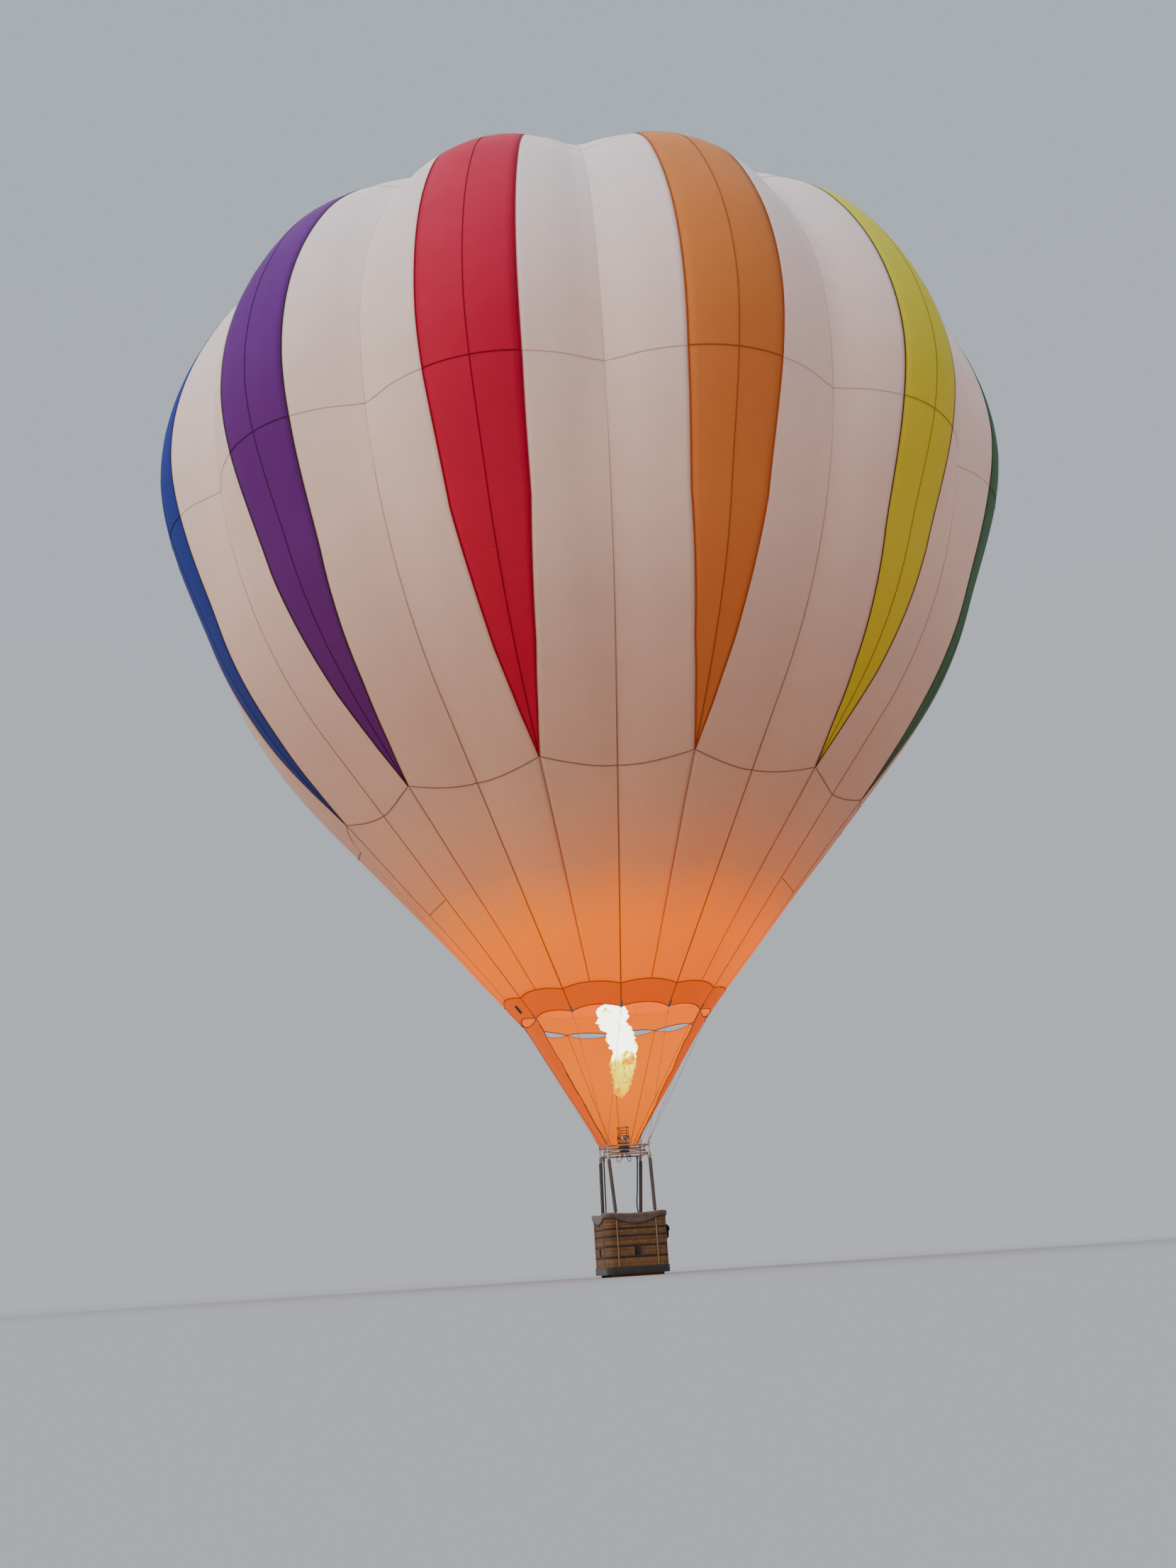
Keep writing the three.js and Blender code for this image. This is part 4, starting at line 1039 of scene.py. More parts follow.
def flying_wires(number, sx, sy, first):
    """Three wires from one frame corner's shackle up to the lip"""
    corner = Vector((sx * FRAME_HALF, sy * FRAME_HALF, FRAME_TOP + FRAME_TUBE + 0.027))
    pin = Vector((0.02, 0, 0))
    parts = [block(corner, (0.034, 0.034, 0.04), 0.008), rod(corner - pin, corner + pin, 0.006, 12, 0.001)]
    for cusp in range(first, first + 3):
        end = skin(cusp % GORES, -1, LIP_PLACE, 0.008, False)
        up = (end - corner).normalized()
        parts += [rod(corner, end, 0.0035, 8),
                  rod(corner + up * 0.05, corner + up * 0.12, 0.006, 10, 0.001),
                  rod(end - up * 0.13, end - up * 0.05, 0.006, 10, 0.001)]
    dress(joined(f"wires_{number}", parts), "wire", f"flying_wires_{number}")


mouth_band()
ring_seam("band_top_seam", band_top_place, 0.024)
dress(lip_binding(), "seam_tape", slot="webbing")
scoop()
dress(scoop_trim(), "seam_tape", slot="webbing")
for set_number, corner_set in enumerate([(1, -1, 1), (1, 1, 4), (-1, 1, 7), (-1, -1, 10)]):
    flying_wires(set_number, *corner_set)
dress(lip_tabs(), "grey_webbing", slot="webbing")
dress(blank_patch(), "pouch_cloth")

# Burner frame and gimbal

CORNERS = [(-1, -1), (1, -1), (1, 1), (-1, 1)]
UPRIGHT_FOOT = (0.355, 0.610, 1.057)


def upright_line(sx, sy):
    """Top and foot of an upright, its direction, and the directions outwards and sideways of it"""
    top = Vector((sx * FRAME_HALF, sy * FRAME_HALF, FRAME_LOW))
    foot = Vector((sx * UPRIGHT_FOOT[0], sy * UPRIGHT_FOOT[1], UPRIGHT_FOOT[2]))
    along = (foot - top).normalized()
    out = Vector((sx, sy, 0)).normalized()
    return top, foot, along, out, along.cross(out).normalized()


def burner_frame():
    parts = []
    for height in (FRAME_LOW, FRAME_TOP):
        ring = [Vector((sx * FRAME_HALF, sy * FRAME_HALF, height)) for sx, sy in CORNERS]
        for start, end in zip(ring, ring[1:] + ring[:1]):
            parts += [rod(start, end, FRAME_TUBE), knob(start, FRAME_TUBE + 0.006)]
            ahead = (end - start).normalized() * 0.012
            for middle in (start.lerp(end, 0.11), start.lerp(end, 0.89)):
                parts.append(rod(middle - ahead, middle + ahead, FRAME_TUBE + 0.003, 20, 0.002))
    for sx, sy in CORNERS:
        top, _, along, _, _ = upright_line(sx, sy)
        bolt, half = top + along * 0.045, Vector((0.03, 0, 0))
        parts += [rod(top, (*top.xy, FRAME_TOP), FRAME_TUBE - 0.003),
                  rod(top, top + along * 0.07, FRAME_TUBE + 0.008, 24, 0.003),
                  rod(bolt - half, bolt + half, 0.005, 10, 0.001)]
    for side in (-1, 1):
        x = side * FRAME_HALF
        parts += [rod((x, 0, FRAME_LOW), (x, 0, FRAME_TOP), FRAME_TUBE - 0.004),
                  rod((x, 0, PIVOT_HEIGHT), (side * 0.36, 0, PIVOT_HEIGHT), 0.014, 24, 0.001),
                  rod((side * 0.402, 0, PIVOT_HEIGHT), (side * 0.376, 0, PIVOT_HEIGHT), 0.012, 6, 0.001)]
    dress(joined("burner_frame_tubes", parts), "frame_steel", "burner_frame")


def gimbal():
    parts = [hoop((0, 0, PIVOT_HEIGHT), 0.3, 0.011)]
    for side in (-1, 1):
        parts += [rod((side * 0.3, 0, PIVOT_HEIGHT), (side * 0.3592, 0, PIVOT_HEIGHT), 0.018, 24, 0.002),
                  rod((0, side * 0.3, PIVOT_HEIGHT), (0, side * 0.2008, PIVOT_HEIGHT), 0.012, 20, 0.001),
                  rod((0, side * 0.318, PIVOT_HEIGHT), (0, side * 0.29, PIVOT_HEIGHT), 0.016, 6, 0.002)]
    dress(joined("gimbal_hoop", parts), "frame_steel", "gimbal_ring", body="gimbal")


def karabiners():
    """Oval links and sleeved wires between the frame corners and the upright covers"""
    parts = []
    for corner in CORNERS:
        top, _, along, out, side = upright_line(*corner)
        middle = top + along * 0.052 - out * 0.042
        gate, turns = middle + side * 0.015, [i / 28 * TURN for i in range(28)]
        link = [middle + along * 0.03 * math.cos(turn) + side * 0.015 * math.sin(turn) for turn in turns]
        sleeve, cover = middle + along * 0.026, top + along * 0.115 - out * 0.0345
        parts += [tube(link, 0.0042, 2, loop=True),
                  rod(gate - along * 0.011, gate + along * 0.011, 0.0062, 12, 0.001),
                  rod(top - out * 0.018 + along * 0.012, middle - along * 0.026, 0.005, 12, 0.001),
                  rod(sleeve, cover, 0.0042, 12),
                  rod(sleeve.lerp(cover, 0.2), sleeve.lerp(cover, 0.8), 0.0075, 12, 0.0015)]
    dress(joined("karabiners", parts), "wire")


burner_frame()
gimbal()
karabiners()

# Burner

SKIRT_RADIUS, SKIRT_LOW, SKIRT_TOP, CAGE_TOP = 0.118, 2.312, 2.437, 2.617
BLOCK_HEIGHT = 0.15


def valve_block():
    top = SKIRT_LOW - 0.0006
    low, middle = top - BLOCK_HEIGHT, top - BLOCK_HEIGHT / 2
    parts = [block((0, 0, middle), (0.166, 0.116, 0.1494), 0.008),
             rod((0, 0, top - 0.012), (0, 0, top), 0.084, 40, 0.003)]
    valve_level, boss_level, gauge_level = PIVOT_HEIGHT - 0.015, PIVOT_HEIGHT + 0.02, PIVOT_HEIGHT + 0.045
    for side in (-1, 1):
        x, boss, riser, port = side * 0.05, side * 0.083, side * 0.109, side * 0.045
        elbow, lever = (x, -0.095, valve_level), (side * 0.062, -0.112, PIVOT_HEIGHT - 0.13)
        parts += [rod((0, side * 0.055, PIVOT_HEIGHT), (0, side * 0.2, PIVOT_HEIGHT), 0.017, 24, 0.002),
                  rod((x, -0.055, valve_level), elbow, 0.013, 20, 0.002),
                  rod((x, -0.06, valve_level), (x, -0.055, valve_level), 0.018, 6, 0.002),
                  rod(elbow, lever, 0.006, 12),
                  rod((side * 0.0565, -0.1035, PIVOT_HEIGHT - 0.072), lever, 0.01, 16, 0.003),
                  rod((port, 0.03, low + 0.005), (port, 0.03, low - 0.035), 0.016, 6, 0.002),
                  rod((port, 0.03, low - 0.03), (port, 0.03, low - 0.035), 0.012, 20, 0.001),
                  rod((boss, 0, boss_level), (boss + side * 0.016, 0, boss_level), 0.014, 6, 0.002),
                  rod((boss + side * 0.014, 0, boss_level), (boss + side * 0.03, 0, boss_level),
                      0.0085, 16, 0.001),
                  rod((riser, 0, boss_level), (riser, 0, boss_level + 0.06), 0.006, 12, 0.001)]
        parts += [rod((side * 0.06, -0.0575, level), (side * 0.06, -0.062, level), 0.006, 6, 0.001)
                  for level in (middle - 0.045, middle + 0.045)]
    parts += [rod((0, -0.058, gauge_level), (0, -0.07, gauge_level), 0.021, 28, 0.002),
              rod((0, -0.07, gauge_level), (0, -0.073, gauge_level), 0.017, 28, 0.001)]
    dress(joined("valve_body", parts), "valve_brass", "valve_block", body="burner")


def skirt():
    """Round pan with nine oval air holes"""
    height, middle = SKIRT_TOP - SKIRT_LOW, (SKIRT_TOP + SKIRT_LOW) / 2
    deselect()
    bpy.ops.mesh.primitive_cylinder_add(vertices=96, radius=SKIRT_RADIUS, depth=height,
                                        location=(0, 0, middle))
    pan = settle(fresh("burner_pan"))
    bpy.ops.object.mode_set(mode="EDIT")
    bpy.ops.mesh.select_all(action="DESELECT")
    shape = bmesh.from_edit_mesh(pan.data)
    for face in shape.faces:
        face.select = face.normal.z > 0.9
    bmesh.update_edit_mesh(pan.data)
    bpy.ops.mesh.inset(thickness=0.006)
    bpy.ops.mesh.extrude_region_move(TRANSFORM_OT_translate={"value": (0, 0, 0.006 - height)})
    bpy.ops.object.mode_set(mode="OBJECT")
    cutters = []
    for turn in [i / 9 * TURN for i in range(9)]:
        deselect()
        bpy.ops.mesh.primitive_cylinder_add(vertices=32, radius=0.027, depth=0.06)
        tool = fresh("cutter")
        tool.scale = (1, 1.35, 1)
        settle(tool)
        tool.rotation_euler = (math.pi / 2, 0, turn)
        tool.location = (SKIRT_RADIUS * math.sin(turn), -SKIRT_RADIUS * math.cos(turn), middle)
        cutters.append(settle(tool))
    tools = joined("cutters", cutters)
    applied(pan, "BOOLEAN", object=tools, operation="DIFFERENCE", solver="EXACT")
    bpy.data.objects.remove(tools)
    applied(pan, "BEVEL", width=0.0012, segments=2, limit_method="ANGLE", angle_limit=math.radians(50))
    dress(smooth(pan), "burner_steel", "burner_skirt", body="burner")


def cage():
    wire, middle = 0.007, SKIRT_RADIUS - 0.003
    foot, low, high = SKIRT_TOP + 0.0006, SKIRT_TOP + 0.0006 + wire, CAGE_TOP - wire
    parts = [hoop((0, 0, low), middle, wire), hoop((0, 0, high), middle, wire)]
    for turn in [(i + 0.5) / 4 * TURN for i in range(4)]:
        x, y = middle * math.sin(turn), -middle * math.cos(turn)
        parts += [rod((x, y, low), (x, y, high), wire, 14),
                  rod((x, y, foot + 0.002), (x, y, foot + 0.022), 0.0095, 6, 0.001)]
    dress(joined("cage_hoops", parts), "burner_steel", "burner_cage", body="burner")


def coil():
    """Fuel coil of four turns, and six jets inside it"""
    floor, low, high, reach, steps = SKIRT_LOW + 0.0063, SKIRT_TOP - 0.035, CAGE_TOP - 0.025, 0.092, 28
    spots = [(0, -reach, floor)]
    for i in range(4 * steps + 1):
        turn = i / steps * TURN
        spots.append((reach * math.sin(turn), -reach * math.cos(turn), low + (high - low) * i / (4 * steps)))
    parts = [tube(spots, 0.008)]
    for turn in [i / 6 * TURN for i in range(6)]:
        x, y = 0.045 * math.sin(turn), 0.045 * math.cos(turn)
        parts += [rod((x, y, floor), (x, y, SKIRT_TOP + 0.02), 0.006, 12, 0.001),
                  rod((x, y, SKIRT_TOP + 0.018), (x, y, SKIRT_TOP + 0.034), 0.009, 12, 0.001)]
    dress(joined("fuel_coil", parts), "coil_steel", "burner_coil", body="burner")


def hose(names, run, diameter, finish, node, body, ends):
    """A hose, with its end fittings from the arguments of their rods"""
    piece = dress(tube(run, diameter / 2, 3, name=names[0]), finish, node, slot="hose_rubber", body=body)
    clips = dress(joined(names[1], [rod(*end) for end in ends]), "valve_brass", body=body)


def burner_hose(side, label):
    """A hose loop hanging under the valve block"""
    x, y, z = side * 0.045, 0.03, SKIRT_LOW - BLOCK_HEIGHT - 0.035 - 0.0006
    run = curved([(x, y, z), (x, y, z - 0.04), (side * 0.085, 0.06, z - 0.12),
                  (side * 0.13, 0.09, z - 0.095), (side * 0.12, 0.07, z - 0.01)], 8)
    ends = [(run[0] + Vector((0, 0, 0.001)), run[0] - Vector((0, 0, 0.022)), 0.0095, 12, 0.001),
            (run[-1], run[-1] - (run[-1] - run[-3]).normalized() * 0.03, 0.0095, 12, 0.001)]
    hose((f"hose_loop_{label}", f"hose_ends_{label}"), run, 0.013,
         "hose_orange" if side < 0 else "hose_rubber", f"burner_hose_{label}", "burner", ends)


CYLINDER_X, CYLINDER_Y, CYLINDER_FOOT, CYLINDER_TOP, CYLINDER_RADIUS = 0.357, 0.417, 0.0606, 0.9106, 0.15


def fuel_hose(side, label):
    """A fuel hose up a rear upright from its cylinder to the burner frame"""
    top, foot, along, _, _ = upright_line(side, 1)
    x, y, start = side * CYLINDER_X, CYLINDER_Y, CYLINDER_TOP + 0.0003
    end_x, end = side * (FRAME_HALF - 0.066), FRAME_LOW - FRAME_TUBE
    inward = Vector((-side * 0.062, 0, 0))
    run = curved([(x, y, start), (x, y, start + 0.06), foot - along * 0.12 + inward,
                  foot.lerp(top, 0.5) + inward, top + along * 0.12 + inward,
                  (end_x, FRAME_HALF, end - 0.05), (end_x, FRAME_HALF, end - 0.0006)])
    ends = [(run[0], run[0] + Vector((0, 0, 0.045)), 0.0165, 6, 0.002),
            (run[-1], run[-1] - Vector((0, 0, 0.04)), 0.0165, 6, 0.002)]
    hose((f"fuel_line_{label}", f"fuel_line_ends_{label}"), run, 0.024, "hose_rubber",
         f"fuel_hose_{label}", "root", ends)


valve_block()
skirt()
cage()
coil()
for hose_end in ((-1, "left"), (1, "right")):
    burner_hose(*hose_end)
    fuel_hose(*hose_end)

# Basket

BASKET_X, BASKET_Y, BASKET_CORNER = 0.565, 0.625, 0.130
WALL, WALL_TOP, RIM_RADIUS, RIM_DIP = 0.030, 1.015, 0.042, 0.025
STRAIGHT_X, STRAIGHT_Y = 2 * (BASKET_X - BASKET_CORNER), 2 * (BASKET_Y - BASKET_CORNER)
CORNER_RUN = BASKET_CORNER * math.pi / 2
PERIMETER = 2 * (STRAIGHT_X + STRAIGHT_Y) + 4 * CORNER_RUN
STAKES, COURSE, FIRST_COURSE = 70, 0.0147, 0.048
STRAND_RADIUS, STRAND_SWING = COURSE / 2 / math.sin(math.pi / 3), 0.0066
FOOTHOLD_HALF, FOOTHOLD_HEIGHT = 0.06, 0.423


def round_basket(run, outward=0.0, height=0.0):
    """A point at a distance round the basket from the middle of its front, outward of the wall's face"""
    run = (run + STRAIGHT_X / 2) % PERIMETER
    x, y, heading = -STRAIGHT_X / 2, -BASKET_Y, 0.0
    for leg in (STRAIGHT_X, STRAIGHT_Y) * 2:
        part = min(run, leg)
        x += part * math.cos(heading) - BASKET_CORNER * math.sin(heading)
        y += part * math.sin(heading) + BASKET_CORNER * math.cos(heading)
        run -= part
        part = min(run, CORNER_RUN)
        heading += part / BASKET_CORNER
        x += BASKET_CORNER * math.sin(heading)
        y -= BASKET_CORNER * math.cos(heading)
        run -= part
    return Vector((x + outward * math.sin(heading), y - outward * math.cos(heading), height))


def rounds(count, outward, height_at):
    """Points once round the basket, outward of its face, at height_at(number, distance round)"""
    return [round_basket(PERIMETER * i / count, outward, height_at(i, PERIMETER * i / count))
            for i in range(count)]


def wall_top(run):
    """Height of the wall, which dips at the middle of each side"""
    spot = round_basket(run)
    along = 1.0
    if abs(spot.y) > BASKET_Y - 0.002:
        along = min(1.0, abs(spot.x) / (BASKET_X - BASKET_CORNER))
    elif abs(spot.x) > BASKET_X - 0.002:
        along = min(1.0, abs(spot.y) / (BASKET_Y - BASKET_CORNER))
    return WALL_TOP - RIM_DIP * (1 - along * along)


def apron_edge(run):
    top = wall_top(run)
    return top - 0.008 - 0.09 * (WALL_TOP - top) / RIM_DIP


def course(phase, spans):
    """One course of weave round the basket, in front of and behind the stakes by turns"""
    parts = []
    step = PERIMETER / STAKES / 3
    for start, end in spans:
        whole = end - start >= PERIMETER - 0.001
        count = STAKES * 3 if whole else max(2, round((end - start) / step) + 1)
        spots = []
        for i in range(count):
            run = start + (PERIMETER * i / count if whole else (end - start) * i / (count - 1))
            swing = STRAND_SWING * math.cos(math.pi * run / (PERIMETER / STAKES) + phase * math.pi)
            spots.append(round_basket(run, swing - WALL / 2, FIRST_COURSE + phase * COURSE))
        parts.append(tube(spots, STRAND_RADIUS, 1, loop=whole))
    return parts


def woven_wall():
    """Courses below, between and above the footholds, and the stakes that they pass"""
    whole, half_round = [(0.0, PERIMETER)], PERIMETER / 2
    quarter = STRAIGHT_X / 2 + CORNER_RUN + STRAIGHT_Y / 2
    middles = [quarter * i for i in range(4)]
    gaps = [(first + FOOTHOLD_HALF, second - FOOTHOLD_HALF)
            for first, second in zip(middles, middles[1:] + [PERIMETER])]
    parts = []
    for first, pairs, spans in ((0, 10, whole), (20, 6, gaps), (32, 17, whole)):
        pair = joined("courses", course(0, spans) + course(1, spans))
        pair.location.z = first * COURSE
        settle(pair)
        parts.append(applied(pair, "ARRAY", count=pairs, use_relative_offset=False, use_constant_offset=True,
                             constant_offset_displace=(0, 0, 2 * COURSE)))
    for run in [PERIMETER * i / STAKES for i in range(STAKES)]:
        x, y, _ = round_basket(run, -WALL / 2)
        off = min(abs((run - middle + half_round) % PERIMETER - half_round) for middle in middles)
        for low, high in [(0.042, 0.335), (0.512, 1.0)] if off < FOOTHOLD_HALF else [(0.042, 1.0)]:
            parts.append(rod((x, y, low), (x, y, high), 0.0045, 8))
    dress(joined("woven_walls", parts), "wicker", "basket_walls")


def foothold_frames():
    """Laced borders and linings of the four footholds"""
    bends = [(math.cos(i / 48 * TURN), math.sin(i / 48 * TURN)) for i in range(48)]
    outline = [(math.copysign(abs(x) ** 0.35, x) * FOOTHOLD_HALF, math.copysign(abs(z) ** 0.35, z) * 0.083)
               for x, z in bends]
    parts = []
    for turn in range(4):
        angle, reach = turn * math.pi / 2, BASKET_X if turn % 2 else BASKET_Y
        across = Vector((math.cos(angle), math.sin(angle), 0))
        out = Vector((math.sin(angle), -math.cos(angle), 0))

        def ring(depth, scale=1.0):
            return [across * x * scale + out * (reach + depth) + Vector((0, 0, FOOTHOLD_HEIGHT + z * scale))
                    for x, z in outline]
        parts += [tube(ring(depth), 0.0065, 2, loop=True) for depth in (-0.004, 0.004 - WALL)]
        rows = [ring(depth, 0.98) for depth in (-0.002, -0.015, 0.002 - WALL)]
        lining = closed(laid("foothold_lining", [row + row[:1] for row in rows]))
        parts.append(thickened(smooth(lining, 60), 0.003, 0.0))
    dress(joined("foothold_borders", parts), "dark_hide")


def padded_rim():
    """Stuffed suede roll on the wall's top, with an apron down both faces"""
    rows = []
    for run in [PERIMETER * i / 200 for i in range(201)]:
        spot, top, low = round_basket(run), wall_top(run), apron_edge(run)
        swell = 0.0022 * noise.noise(Vector((spot.x * 7, spot.y * 7, 1.3))) - 0.0012
        ripple = 0.0012 * noise.noise(Vector((spot.x * 30, spot.y * 30, 4.0)))
        apron = [(0.0005, low), (0.0085, low + 0.001), (0.0098, low + 0.004), (0.011, (low * 2 + top) / 3),
                 (0.0135, (low + 2 * top) / 3), (0.0145, top - 0.002)]
        section = list(apron)
        for angle in [math.radians(-22 + 224 * step / 18) for step in range(19)]:
            reach = RIM_RADIUS + swell
            section.append((reach * math.cos(angle) - WALL / 2,
                            top + RIM_RADIUS - 0.002 + reach * math.sin(angle)))
        section += [(-WALL - outward, height) for outward, height in reversed(apron)]
        loose = [0.0] + [ripple * math.sin(height * 160) for _, height in section[1:]] + [0.0] * 3
        section += [(-WALL - 0.0005, top + 0.0003), (0.0005, top + 0.0003), (0.0005, low)]
        rows.append([round_basket(run, outward + slip, height)
                     for (outward, height), slip in zip(section, loose)])
    piece = smooth(closed(laid("padded_rim", rows)), 70)
    dress(piece, "hide", "basket_rim")


def apron_lacing():
    """Binding and lacing along the apron's lower edge, outside and inside"""
    parts = []
    for outward, over in ((0.0105, 0.0125), (-WALL - 0.0105, -WALL - 0.0125)):
        edge = rounds(200, outward, lambda _, run: apron_edge(run) + 0.002)
        lace = rounds(300, over, lambda i, run: apron_edge(run) + (0.022 if i % 2 else 0.004))
        parts += [tube(edge, 0.0042, 1, loop=True), tube(lace, 0.0018, 0, loop=True)]
    dress(joined("apron_binding", parts), "dark_hide")


def scuff():
    """Hide band round the foot of the wall, with two rows of stitches"""
    section = [(0.0005, 0.0405), (0.0005, 0.17), (0.006, 0.169), (0.009, 0.163), (0.0095, 0.12),
               (0.0095, 0.075), (0.008, 0.055), (0.005, 0.0415), (0.0005, 0.0405)]
    rows = [[round_basket(PERIMETER * i / 160, *corner) for corner in section] for i in range(161)]
    parts = [smooth(closed(laid("scuff", rows)), 35)]
    for level in (0.156, 0.064):
        parts.append(tube(rounds(240, 0.0098, lambda _, run: level), 0.0012, 0, loop=True))
    dress(joined("scuff_hide", parts), "dark_hide", "scuff_band")


def basket_straps():
    """Two webbing straps down each wall"""
    heights = [0.165 + 0.8 * i / 24 for i in range(25)]
    parts = []
    for side in (-1, 1):
        for off in (-1, 1):
            spots = [Vector((off * 0.355, side * (BASKET_Y + 0.0022), height)) for height in heights]
            parts.append(strap(spots, Vector((1, 0, 0)), 0.03))
            spots = [Vector((side * (BASKET_X + 0.0022), off * 0.36, height)) for height in heights]
            parts.append(strap(spots, Vector((0, 1, 0)), 0.03))
    dress(joined("wall_straps", parts), "webbing")


def upright(number):
    """A rod in a padded laced cover"""
    top, foot, along, out, side = upright_line(*CORNERS[number])
    out = side.cross(along).normalized()
    start, last, radius = top + along * 0.0703, foot - along * 0.034, 0.0325
    first = start + along * 0.014
    rows = []
    for share in [i / 64 for i in range(65)]:
        middle, shut = first.lerp(last, share), min(1.0, min(share, 1 - share) / 0.03)
        row = []
        for angle in [j / 28 * TURN for j in range(29)]:
            swell = 0.0016 * noise.noise(Vector((math.cos(angle), math.sin(angle), share * 9 + number)))
            pinch = 0.0022 * max(0.0, 1 - abs(angle - math.pi / 2) * 5)
            reach = radius * (0.5 + 0.5 * math.sqrt(shut)) + swell * shut - pinch
            row.append(middle + (side * math.cos(angle) - out * math.sin(angle)) * reach)
        rows.append(row)
    cover = smooth(closed(laid(f"upright_cover_{number}", rows), holes=True), 50)
    dress(cover, "padded_cover", f"upright_{number}")
    core = joined(f"upright_rod_{number}", [rod(start, last, 0.013, 16, 0.001)])
    dress(core, "frame_steel", slot="padded_cover")
    lace = [first.lerp(last, 0.03 + 0.94 * i / 63) - out * 0.0318 + side * (0.006 if i % 2 else -0.006)
            for i in range(64)]
    dress(tube(lace, 0.0014, 0, name=f"upright_lace_{number}"), "dark_hide", slot="padded_cover")


def fuel_cylinder(number):
    """A fuel cylinder with its collar, beads, gauge and outlet"""
    sx, sy = CORNERS[number]
    x, y, foot, top = sx * CYLINDER_X, sy * CYLINDER_Y, CYLINDER_FOOT, CYLINDER_TOP
    body = [(0.0, 0.0), (0.12, 0.0), (0.135, 0.01), (0.147, 0.028), (0.15, 0.05)]
    collar = [(0.15, 0.16), (0.148, 0.14), (0.138, 0.118), (0.12, 0.1), (0.098, 0.087), (0.096, 0.085),
              (0.096, 0.022), (0.0935, 0.019), (0.089, 0.021), (0.088, 0.08), (0.026, 0.073), (0.024, 0.05),
              (0.024, 0.02), (0.018, 0.006), (0.0, 0.004)]
    profile = [(radius, foot + up) for radius, up in body] + [(radius, top - down) for radius, down in collar]
    parts = [turned(profile, x, y)]
    for level in (foot + 0.16, foot + 0.55):
        bead = [(0.1495, 0), (0.1525, 0.004), (0.1525, 0.02), (0.1495, 0.024), (0.1495, 0)]
        parts.append(turned([(radius, level + up) for radius, up in bead], x, y))
    gauge_x, gauge_y, outlet = x - sx * 0.05, y - sy * 0.02, top - 0.045
    parts += [rod((gauge_x, gauge_y, top - 0.07), (gauge_x, gauge_y, top - 0.04), 0.02, 20, 0.002),
              rod((x, y, outlet), (x, y - sy * 0.055, outlet), 0.012, 20, 0.001),
              rod((x, y - sy * 0.035, outlet), (x, y - sy * 0.05, outlet), 0.017, 6, 0.002)]
    dress(joined(f"gas_cylinder_{number}", parts), "tank_metal", f"fuel_tank_{number}")


def belt(x, y, low, width=0.03):
    """A strap buckled round an upright cylinder"""
    radius = CYLINDER_RADIUS + 0.0005
    reach = radius + 0.0012
    rows = []
    for turn in [i / 64 * TURN for i in range(65)]:
        spot = x + reach * math.cos(turn), y + reach * math.sin(turn)
        rows.append([((*spot, low + width * share), (width * share, radius * turn)) for share in (0, 0.5, 1)])
    return thickened(smooth(closed(laid("belt", rows, "cut")), 60), 0.002, 0.0)


def cylinder_fittings():
    """Straps that hold the cylinders, and their hand wheels"""
    belts, wheels = [], []
    for sx, sy in CORNERS:
        x, y = sx * CYLINDER_X, sy * CYLINDER_Y
        for low in (0.29, 0.66):
            buckle = (x - sx * 0.108, y - sy * 0.108, low + 0.015)
            belts += [belt(x, y, low), block(buckle, (0.028, 0.028, 0.036), 0.003, math.pi / 4)]
        centre = Vector((x, y, 0.893))
        wheels.append(hoop(centre, 0.03, 0.006, 32, 10))
        for turn in (0.4, 0.4 + math.pi / 2):
            reach = Vector((math.cos(turn), math.sin(turn), 0)) * 0.03
            wheels.append(rod(centre - reach, centre + reach, 0.0045, 10))
    dress(joined("cylinder_belts", belts), "webbing")
    dress(joined("cylinder_wheels", wheels), "valve_brass", slot="tank_metal")


def pouch():
    """Soft bag hung on the right-hand wall, with a flap and its strap"""
    outline = [(0.0, 0.6), (0.02, 0.601), (0.045, 0.612), (0.058, 0.64), (0.062, 0.69), (0.063, 0.74),
               (0.058, 0.79), (0.045, 0.825), (0.022, 0.845), (0.001, 0.849)]
    rows = []
    for outward, height in outline:
        row = []
        for share in [j / 16 for j in range(17)]:
            full = 0.35 + 0.65 * (1 - abs(2 * share - 1) ** 5)
            sag = 0.004 * noise.noise(Vector((share * 4, height * 9, 0.5))) if outward > 0.01 else 0.0
            row.append((BASKET_X + max(0.0012, 0.0012 + outward * full + sag), 0.226 * share - 0.448, height))
        rows.append(row)
    bag = applied(closed(laid("pouch_front", rows), holes=True), "SUBSURF", levels=1, render_levels=1)
    flap = [[(BASKET_X + 0.068 - 0.061 * share ** 3.4, 0.22 * k / 8 - 0.445, 0.74 + 0.113 * share)
             for k in range(9)] for share in [i / 10 for i in range(11)]]
    parts = [smooth(bag, 60), thickened(smooth(laid("pouch_flap", flap), 60), 0.003, 0.0)]
    dress(joined("pouch_bag", parts), "pouch_cloth", "side_pouch")
    hanger = [Vector((BASKET_X + outward, -0.335, height))
              for outward, height in ((0.0165, 1.0), (0.014, 0.95), (0.008, 0.9), (0.006, 0.86))]
    dress(strap(hanger, Vector((0, 1, 0)), 0.025, name="pouch_strap"), "grey_webbing", slot="webbing")


woven_wall()
foothold_frames()
padded_rim()
apron_lacing()
scuff()
basket_straps()
for corner_number in range(4):
    upright(corner_number)
for corner_number in range(4):
    fuel_cylinder(corner_number)
cylinder_fittings()
pouch()

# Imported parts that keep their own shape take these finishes
for node_name, finish_name in {"basket_floor": "floor_ply", "runners": "runner_wood",
                               "crown_straps": "grey_webbing"}.items():
    for place in bpy.data.objects[node_name].material_slots:
        place.material = FINISH[finish_name]


# Parachute valve

